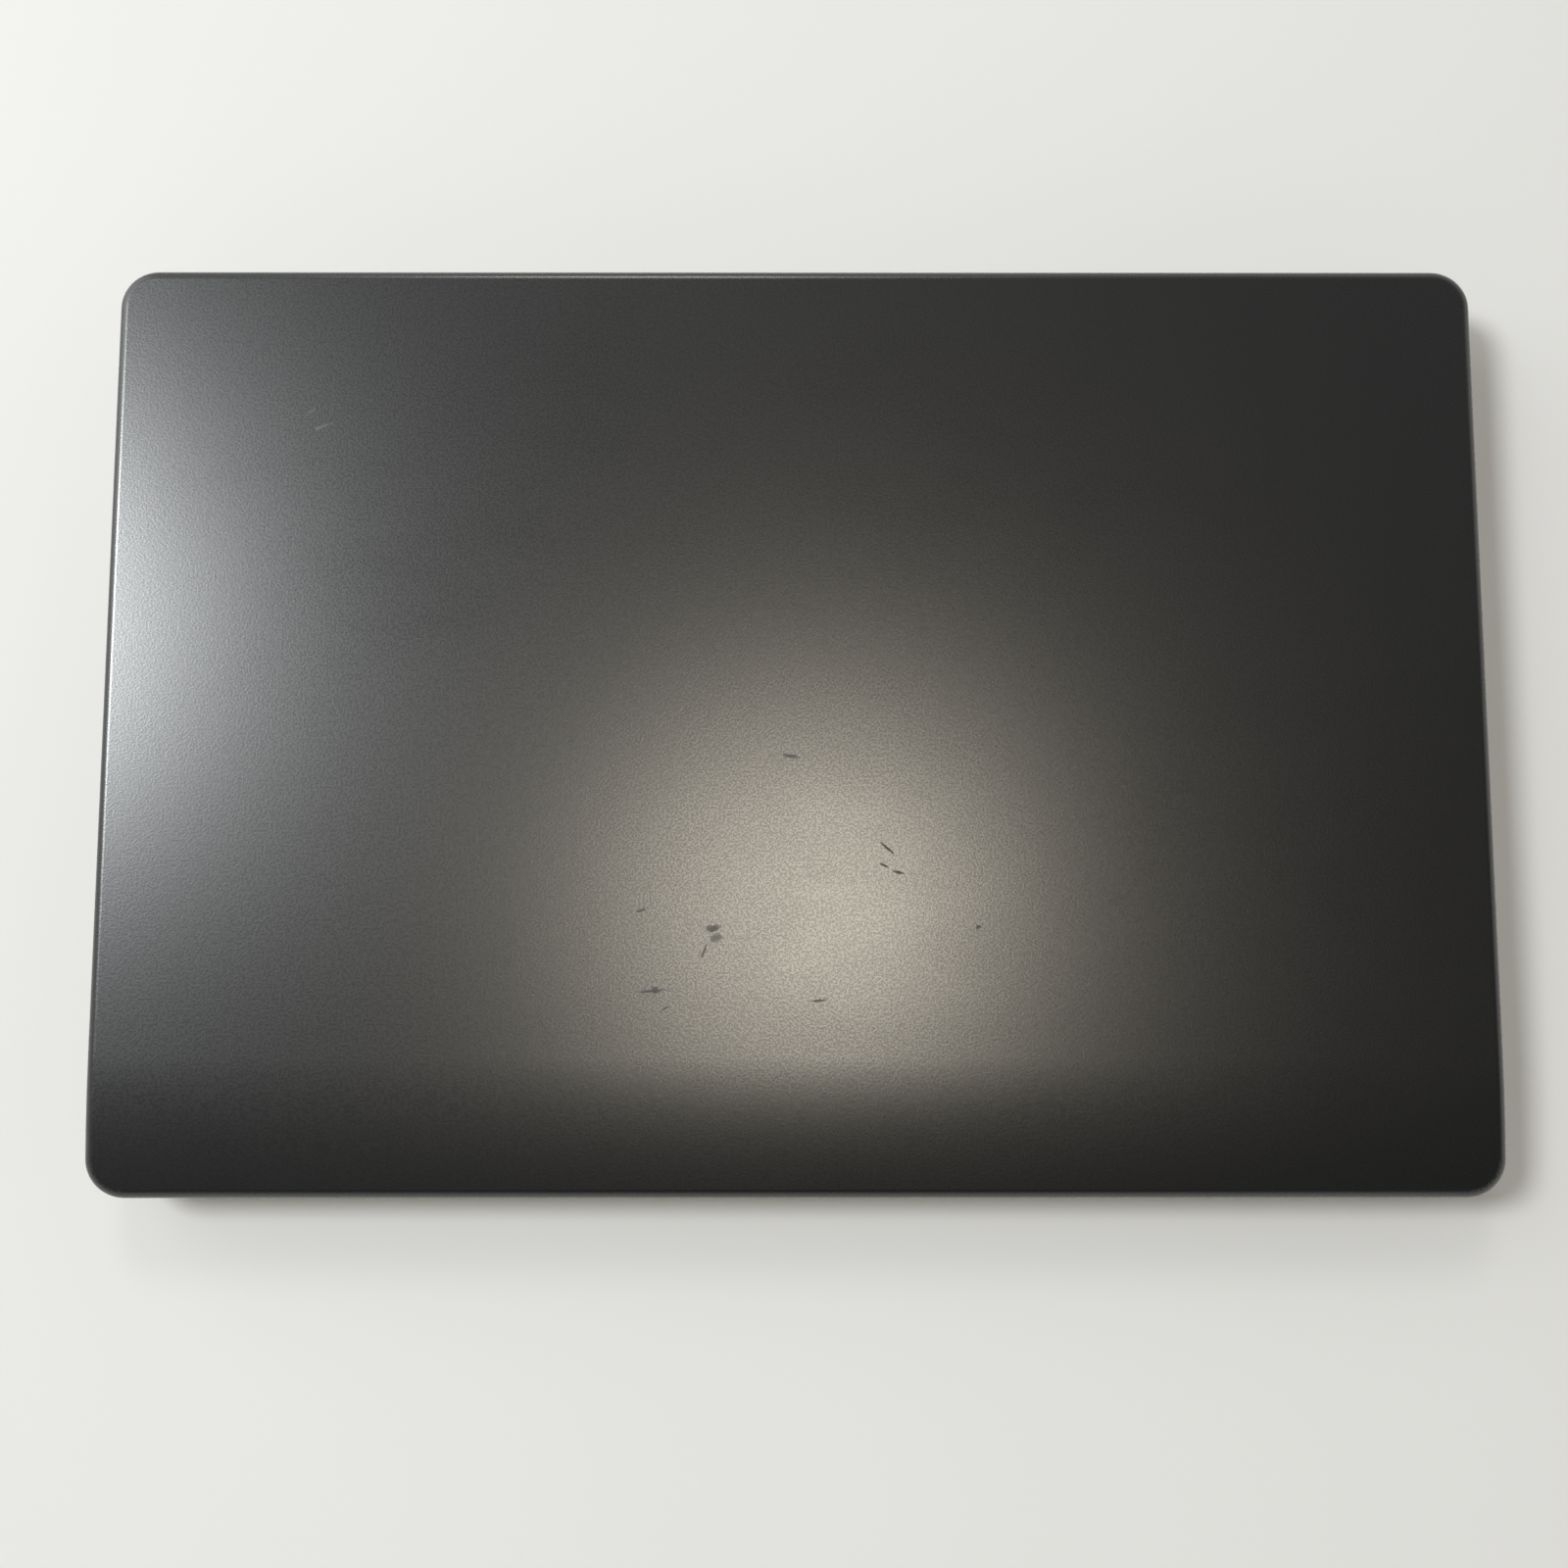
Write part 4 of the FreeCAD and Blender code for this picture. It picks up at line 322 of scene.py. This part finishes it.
# lid shell: the same solid, smooth along the roll at its front
lidRoll = {"start": -77.0, "length": 32.0, "drop": 1.8, "skin": 18.0, "upright": 0.99, "aside": 0.01}


def rolledLid(r):
    mesh = nodes["lid_back_cover"].data.copy()
    radius = (r["length"] ** 2 + r["drop"] ** 2) / (2 * r["drop"])
    facing = [corner.vector.copy() for corner in mesh.corner_normals]
    for face in mesh.polygons:
        upwards = face.normal.z > r["upright"] and abs(face.normal.x) < r["aside"]
        if upwards and face.center.z > r["skin"] * mm and face.center.y < r["start"] * mm:
            face.use_smooth = True
            for corner in face.loop_indices:
                y = mesh.vertices[mesh.loops[corner].vertex_index].co.y / mm
                lean = max(0.0, r["start"] - y) / radius
                facing[corner] = Vector((0, -lean, math.sqrt(1 - lean ** 2)))
    mesh.normals_split_custom_set(facing)
    piece = addPiece("rolledLid", mesh, "lid", "lid")
    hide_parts("lid_back_cover")


rolledLid(lidRoll)
print("lid shell set")

# keys and buttons with softened edges, from a merged copy of each solid
softEdges = {"width": 0.28 * mm, "segments": 3, "profile": 0.6, "merge": 0.004 * mm, "crown": 0.25 * mm,
             "flat": math.radians(0.05), "sharp": math.radians(35), "shade": math.radians(40)}
softTops = {}  # what the key legends lie on


def softenedCopy(node, finish):
    mesh = nodes[node].data.copy()
    mesh.materials.clear()
    shape = bmesh.new()
    shape.from_mesh(mesh)
    bmesh.ops.remove_doubles(shape, verts=shape.verts, dist=softEdges["merge"])
    bmesh.ops.dissolve_limit(shape, angle_limit=softEdges["flat"], verts=shape.verts, edges=shape.edges)
    crown = max(v.co.z for v in shape.verts) - softEdges["crown"]
    sharp = [e for e in shape.edges if e.is_manifold and e.calc_face_angle() > softEdges["sharp"]
             and min(v.co.z for v in e.verts) > crown]
    bmesh.ops.bevel(shape, geom=sharp, offset=softEdges["width"], segments=softEdges["segments"],
                    profile=softEdges["profile"], affect="EDGES")
    shape.to_mesh(mesh)
    shape.free()
    for face in mesh.polygons:
        face.use_smooth = True
    mesh.set_sharp_from_angle(angle=softEdges["shade"])
    softTops[node] = BVHTree.FromPolygons([v.co for v in mesh.vertices], [f.vertices for f in mesh.polygons])
    piece = addPiece("soft_" + node, mesh, finish, node)
    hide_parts(node)


for node in ("function_row_keys", "number_row_keys", "upper_letter_keys", "home_letter_keys", "lower_letter_keys",
             "modifier_keys", "space_bar", "arrow_keys"):
    softenedCopy(node, "key")
for node in ("left_click_button", "right_click_button"):
    softenedCopy(node, "pad")
softenedCopy("power_button", "key")
print("keys and buttons softened")

# key legends: plain letters, digits and key words, set flat on the key tops
keyboard = {
    "pitchX": 285.8 / 15, "pitchY": 18.05, "functionPitch": 12.0, "rearY": 86.0, "gap": 3.0, "draft": 0.55,
    "top": 14.4, "lift": 0.02, "inset": 1.5, "letter": 4.0, "word": 2.7, "small": 2.3, "pairScale": 1.15,
    "firstUnit": -7.5, "arrowUnit": 11.75, "arrowSpan": 3.25 / 3, "arrowSize": 1.3, "rowsBeforeArrows": 4,
    "rows": [
        ("function_row_keys", [15 / 16] * 16,
         "Esc F1 F2 F3 F4 F5 F6 F7 F8 F9 F10 F11 F12 PrtSc Insert Delete"),
        ("number_row_keys", [1] * 13 + [2], "~` !1 @2 #3 $4 %5 ^6 &7 *8 (9 )0 _- += Backspace"),
        ("upper_letter_keys", [1.5] + [1] * 12 + [1.5], "Tab Q W E R T Y U I O P {[ }] |\\"),
        ("home_letter_keys", [1.75] + [1] * 11 + [2.25], "CapsLk A S D F G H J K L :; \"' Enter"),
        ("lower_letter_keys", [2.25] + [1] * 10 + [2.75], "Shift Z X C V B N M <, >. ?/ Shift"),
        ("modifier_keys", [1.25, 1, 1, 1, 5.25, 1, 1.25], "Ctrl Fn Sys Alt - Alt Ctrl"),
    ],
    "arrows": [["PgUp", "up", "PgDn"], ["left", "down", "right"]],
}


def legendPlaces(k):
    places = []  # body, text, size, x, y
    margin = k["gap"] / 2 + k["draft"] + k["inset"]
    y = k["rearY"]
    for row, (node, units, words) in enumerate(k["rows"]):
        x = k["firstUnit"] * k["pitchX"]
        top = y - margin
        for unit, word in zip(units, words.split()):
            left = x + margin
            if len(word) == 2 and not word[0].isalpha():
                below = top - k["letter"] * k["pairScale"]
                places.append((node, word[0], k["word"], left, top))
                places.append((node, word[1], k["word"] * k["pairScale"], left, below))
            elif len(word) == 1 and word.isalpha():
                places.append((node, word, k["letter"], left, top))
            elif word != "-":
                places.append((node, word, k["word"] if row else k["small"], left, top))
            x += unit * k["pitchX"]
        y -= k["pitchY"] if row else k["functionPitch"]
    # the last row ends where the arrow keys start
    for column, word in enumerate(k["arrows"][0]):
        if word.startswith("Pg"):
            left = x + column * k["arrowSpan"] * k["pitchX"] + margin
            places.append(("arrow_keys", word, k["small"], left, top))
    return places


def onKeyTop(k, node, x, y):
    found = softTops[node].ray_cast(Vector((x, y, 2 * k["top"] * mm)), Vector((0, 0, -1)))[0]
    return (found.z if found else k["top"] * mm) + k["lift"] * mm


def textMeshes(places, k):
    texts = []
    for body, word, size, x, y in places:
        curve = bpy.data.curves.new("legend", "FONT")
        curve.body = word
        curve.size = size * mm
        curve.align_y = "TOP"
        curve.resolution_u = 3
        item = bpy.data.objects.new("legend", curve)
        bpy.context.scene.collection.objects.link(item)
        texts.append((body, item, Vector((x * mm, y * mm, 0))))
    depsgraph = bpy.context.evaluated_depsgraph_get()
    shapes = {}
    for body, item, place in texts:
        mesh = bpy.data.meshes.new_from_object(item.evaluated_get(depsgraph))
        mesh.transform(Matrix.Translation(place))
        for vert in mesh.vertices:
            vert.co.z = onKeyTop(k, body, vert.co.x, vert.co.y)
        shapes.setdefault(body, bmesh.new()).from_mesh(mesh)
    for body, item, place in texts:
        bpy.data.objects.remove(item)
    return shapes


def arrowMarks(k):
    shape = bmesh.new()
    start = (k["firstUnit"] + k["arrowUnit"]) * k["pitchX"]
    step = k["arrowSpan"] * k["pitchX"]
    rowTop = k["rearY"] - k["functionPitch"] - k["rowsBeforeArrows"] * k["pitchY"] - k["gap"] / 2
    keyHeight = (k["pitchY"] - k["gap"]) / 2
    turns = {"up": 90, "left": 180, "down": 270, "right": 0}
    for line, words in enumerate(k["arrows"]):
        for column, word in enumerate(words):
            if word not in turns:
                continue
            cx = start + (column + 0.5) * step
            cy = rowTop - keyHeight * (line + 0.5)
            corners = []
            for angle in (0, 120, 240):
                a = math.radians(turns[word] + angle)
                tip = ((cx + k["arrowSize"] * math.cos(a)) * mm, (cy + k["arrowSize"] * math.sin(a)) * mm)
                corners.append(shape.verts.new((*tip, onKeyTop(k, "arrow_keys", *tip))))
            shape.faces.new(corners)
    return shape


legendShapes = textMeshes(legendPlaces(keyboard), keyboard)
arrows = arrowMarks(keyboard)
arrowMesh = bpy.data.meshes.new("arrows")
arrows.to_mesh(arrowMesh)
arrows.free()
legendShapes["arrow_keys"].from_mesh(arrowMesh)
finishes["legend"] = mouldedPlastic("legendInk", (0.60, 0.61, 0.62), 0.6, 5000.0, 0.000008, 0.3)
for body, shape in legendShapes.items():
    mesh = bpy.data.meshes.new("legends_" + body)
    shape.to_mesh(mesh)
    shape.free()
    addPiece("legends_" + body, mesh, "legend", body)
print("legends set on", len(legendShapes), "rows")


# repeats: one small form on each point of a list
def repeatTree(name):
    tree = bpy.data.node_groups.new(name, "GeometryNodeTree")
    tree.interface.new_socket("Points", in_out="INPUT", socket_type="NodeSocketGeometry")
    for label in ("Width", "Length", "Height"):
        tree.interface.new_socket(label, in_out="INPUT", socket_type="NodeSocketFloat")
    tree.interface.new_socket("Finish", in_out="INPUT", socket_type="NodeSocketMaterial")
    tree.interface.new_socket("Pieces", in_out="OUTPUT", socket_type="NodeSocketGeometry")
    start = tree.nodes.new("NodeGroupInput")
    end = tree.nodes.new("NodeGroupOutput")
    shape = tree.nodes.new("GeometryNodeMeshCube")
    size = tree.nodes.new("ShaderNodeCombineXYZ")
    for label, axis in (("Width", "X"), ("Length", "Y"), ("Height", "Z")):
        tree.links.new(start.outputs[label], size.inputs[axis])
    tree.links.new(size.outputs[0], shape.inputs["Size"])
    spread = tree.nodes.new("GeometryNodeInstanceOnPoints")
    realize = tree.nodes.new("GeometryNodeRealizeInstances")
    paint = tree.nodes.new("GeometryNodeSetMaterial")
    tree.links.new(start.outputs["Points"], spread.inputs["Points"])
    tree.links.new(shape.outputs["Mesh"], spread.inputs["Instance"])
    tree.links.new(spread.outputs["Instances"], realize.inputs["Geometry"])
    tree.links.new(realize.outputs["Geometry"], paint.inputs["Geometry"])
    tree.links.new(start.outputs["Finish"], paint.inputs["Material"])
    tree.links.new(paint.outputs["Geometry"], end.inputs["Pieces"])
    return tree


barTree = repeatTree("repeatBars")


def repeated(name, points, sizes, finish, body):
    carrier = bpy.data.meshes.new(name + "_points")
    carrier.from_pydata([[c * mm for c in point] for point in points], [], [])
    item = bpy.data.objects.new(name + "_points", carrier)
    bpy.context.scene.collection.objects.link(item)
    modifier = item.modifiers.new("repeat", "NODES")
    modifier.node_group = barTree
    values = dict(zip(("Width", "Length", "Height"), [size * mm for size in sizes]), Finish=finishes[finish])
    for socket in barTree.interface.items_tree:
        if socket.in_out == "INPUT" and socket.name in values:
            modifier[socket.identifier] = values[socket.name]
    item.update_tag()
    depsgraph = bpy.context.evaluated_depsgraph_get()
    mesh = bpy.data.meshes.new_from_object(item.evaluated_get(depsgraph))
    bpy.data.objects.remove(item)
    addPiece(name, mesh, finish, body)


# spring contacts in the sockets; sizes in mm, bar is width, length and height
socketLevel = 8.65
usb = {"x": 154.5, "ports": ((1, 34.5), (1, 16.5), (-1, 64.0)), "offsets": (-3.5, -1.0, 1.0, 3.5), "drop": 0.03,
       "bar": (8.0, 1.0, 0.1)}
network = {"x": 153.0, "y": 68.5, "count": 8, "pitch": 1.02, "levels": (12.2,), "bar": (8.0, 0.45, 0.3)}
hdmi = {"x": 154.0, "y": 50.5, "count": 10, "pitch": 1.1, "bar": (9.0, 0.45, 0.1),
        "levels": (socketLevel + 1.0, socketLevel - 1.0)}
thinPlug = {"x": -154.5, "y": 77.5, "count": 12, "pitch": 0.5, "bar": (7.0, 0.26, 0.06),
            "levels": (socketLevel + 0.38, socketLevel - 0.38)}


def contactRow(c):
    middle = (c["count"] - 1) / 2
    return [(c["x"], c["y"] + (n - middle) * c["pitch"], level) for n in range(c["count"])
            for level in c["levels"]]


usbPins = [(side * usb["x"], y + offset, socketLevel - usb["drop"]) for side, y in usb["ports"]
           for offset in usb["offsets"]]
repeated("usbContacts", usbPins, usb["bar"], "gold", "base")
for name, row in (("networkContacts", network), ("hdmiContacts", hdmi), ("thinPlugContacts", thinPlug)):
    repeated(name, contactRow(row), row["bar"], "gold", "base")

# raised bars on the two keys that the forefingers find by touch
touchBars = {"columns": (-2.25, 0.75), "rowsBefore": 2.5, "fromRowMiddle": -5.0, "level": 14.3,
             "bar": (3.2, 0.4, 0.3)}
rowMiddle = keyboard["rearY"] - keyboard["functionPitch"] - touchBars["rowsBefore"] * keyboard["pitchY"]
barPlaces = [(column * keyboard["pitchX"], rowMiddle + touchBars["fromRowMiddle"], touchBars["level"])
             for column in touchBars["columns"]]
repeated("touchBars", barPlaces, touchBars["bar"], "key", "home_letter_keys")
print("contacts and touch bars set")


# camera glass: a shallow dome behind the bezel's hole, facing the screen side
lens = {"radius": 1.35, "bulge": 0.08, "place": (0.0, -104.7, 16.245), "rings": 6, "sides": 32,
        "dark": (0.004, 0.004, 0.010), "tinted": (0.012, 0.010, 0.02), "noiseScale": 700.0, "coat": 0.6}


def glassFinish(settings):
    material, tree, shader, coords = startMaterial("cameraGlass")
    cast = noiseAt(tree, coords, settings["noiseScale"], 2.0)
    shade = blendColour(tree, ramp(tree, cast, 0.35, 0.65), settings["dark"], settings["tinted"])
    plug(tree, shade, shader.inputs["Base Color"])
    plug(tree, remap(tree, cast, 0.3, 0.7, 0.03, 0.08), shader.inputs["Roughness"])
    shader.inputs["Coat Weight"].default_value = settings["coat"]
    return material


def glassDome(settings):
    dome = bmesh.new()
    x, y, z = settings["place"]
    sides = settings["sides"]
    circles = []
    for ring in range(settings["rings"] + 1):
        rise = ring / settings["rings"] * math.pi / 2
        reach = settings["radius"] * math.cos(rise)
        level = z - settings["bulge"] * math.sin(rise)
        count = sides if ring < settings["rings"] else 1
        circle = []
        for n in range(count):
            a = 2 * math.pi * n / count
            place = (x + reach * math.cos(a), y + reach * math.sin(a), level)
            circle.append(dome.verts.new([c * mm for c in place]))
        circles.append(circle)
    for lower, upper in zip(circles, circles[1:]):
        for n in range(sides):
            following = (n + 1) % sides
            if len(upper) > 1:
                dome.faces.new((lower[n], upper[n], upper[following], lower[following]))
            else:
                dome.faces.new((lower[n], upper[0], lower[following]))
    dome.faces.new(circles[0])
    bmesh.ops.recalc_face_normals(dome, faces=dome.faces)
    mesh = bpy.data.meshes.new("cameraGlass")
    dome.to_mesh(mesh)
    dome.free()
    for face in mesh.polygons:
        face.use_smooth = len(face.vertices) < sides
    return mesh


finishes["glass"] = glassFinish(lens)
addPiece("cameraGlass", glassDome(lens), "glass", "lid")
print("camera glass set")

# floor, lights and camera
stage = {"floor": (0.78, 0.775, 0.76), "shade": 0.98, "size": 3.6, "cloudScale": 3.0, "fibreScale": 900.0,
         "fibreDepth": 0.00003, "specular": 0.2}
studio = {"horizon": (0.5, 0.5, 0.49), "overhead": (0.042, 0.042, 0.043), "rear": (0.16, 0.16, 0.16),
          "front": (0.006, 0.006, 0.006), "backdrop": (0.68, 0.68, 0.65), "heights": (0.3, 0.8),
          "rearSlopes": (0.05, 0.5), "frontSlopes": (-0.16, -0.05), "lowest": 0.05}
lamps = [  # name, place, size, power, colour
    ("window", (-2.2, 1.4, 1.35), 2.6, 24.0, (0.94, 0.97, 1.0)),
    ("leftPanel", (-1.27, 0.42, 1.76), 0.6, 30.0, (0.95, 0.98, 1.0)),
    ("ceiling", (0.04, 0.01, 2.2), 0.5, 9.0, (1.0, 0.92, 0.77)),
    ("rearPanel", (-0.3, 2.3, 2.1), 0.8, 12.0, (1.0, 0.99, 0.97)),
]
view = {"place": (-0.0033, -0.052, 0.382), "ahead": (0.0016, 0.1025, -0.9947), "lens": 36.05, "sensor": 36.0,
        "nearest": 0.01}


def floorFinish(settings):
    material, tree, shader, coords = startMaterial("floorPaper")
    clouds = ramp(tree, noiseAt(tree, coords, settings["cloudScale"], 3.0), 0.3, 0.7)
    fibre = noiseAt(tree, coords, settings["fibreScale"], 2.0)
    shade = blendColour(tree, clouds, tint(settings["floor"], settings["shade"]), settings["floor"])
    plug(tree, shade, shader.inputs["Base Color"])
    plug(tree, remap(tree, fibre, 0.3, 0.7, 0.8, 0.95), shader.inputs["Roughness"])
    plug(tree, bumpFrom(tree, fibre, settings["fibreDepth"], 0.3), shader.inputs["Normal"])
    shader.inputs["Specular IOR Level"].default_value = settings["specular"]
    return material


half = stage["size"] / 2
floorMesh = bpy.data.meshes.new("floor")
corners = [(-half, -half, 0), (half, -half, 0), (half, half, 0), (-half, half, 0)]
floorMesh.from_pydata(corners, [], [(0, 1, 2, 3)])
floorMesh.materials.append(floorFinish(stage))
floor = bpy.data.objects.new("floor", floorMesh)
bpy.context.scene.collection.objects.link(floor)

for name, place, size, power, colour in lamps:
    data = bpy.data.lights.new(name, "AREA")
    data.shape = "DISK"
    data.size = size
    data.energy = power
    data.color = colour
    lamp = bpy.data.objects.new(name, data)
    lamp.location = place
    lamp.rotation_euler = (-Vector(place)).to_track_quat("-Z", "Y").to_euler()
    bpy.context.scene.collection.objects.link(lamp)

# sky: dark overhead, paler to the rear and at the horizon, and a pale backdrop where it is seen or mirrored
world = bpy.data.worlds.new("studio")
bpy.context.scene.world = world
world.use_nodes = True
sky = world.node_tree
direction = sky.nodes.new("ShaderNodeSeparateXYZ")
sky.links.new(sky.nodes.new("ShaderNodeTexCoord").outputs["Generated"], direction.inputs[0])
height = ramp(sky, direction.outputs["Z"], *studio["heights"])
upward = calc(sky, "MAXIMUM", direction.outputs["Z"], studio["lowest"])
slope = calc(sky, "DIVIDE", direction.outputs["Y"], upward)
overhead = blendColour(sky, ramp(sky, slope, *studio["rearSlopes"]), studio["overhead"], studio["rear"])
frontward = remap(sky, slope, *studio["frontSlopes"], 1.0, 0.0)
overhead = blendColour(sky, frontward, overhead, studio["front"])
rays = sky.nodes.new("ShaderNodeLightPath").outputs
seen = calc(sky, "MAXIMUM", rays["Is Glossy Ray"], rays["Is Transmission Ray"])
seen = calc(sky, "MAXIMUM", seen, rays["Is Camera Ray"])
horizon = blendColour(sky, seen, studio["horizon"], studio["backdrop"])
plug(sky, blendColour(sky, height, horizon, overhead), sky.nodes["Background"].inputs["Color"])

cameraData = bpy.data.cameras.new("camera")
cameraData.lens = view["lens"]
cameraData.sensor_width = view["sensor"]
cameraData.clip_start = view["nearest"]
camera = bpy.data.objects.new("camera", cameraData)
ahead = Vector(view["ahead"]).normalized()
right = Vector((1, 0, 0))
right = (right - ahead * right.dot(ahead)).normalized()
up = right.cross(ahead)
camera.matrix_world = Matrix((right, up, -ahead)).transposed().to_4x4()
camera.location = view["place"]
bpy.context.scene.collection.objects.link(camera)
bpy.context.scene.camera = camera
bpy.context.scene.view_settings.view_transform = "Standard"
print("stage set")
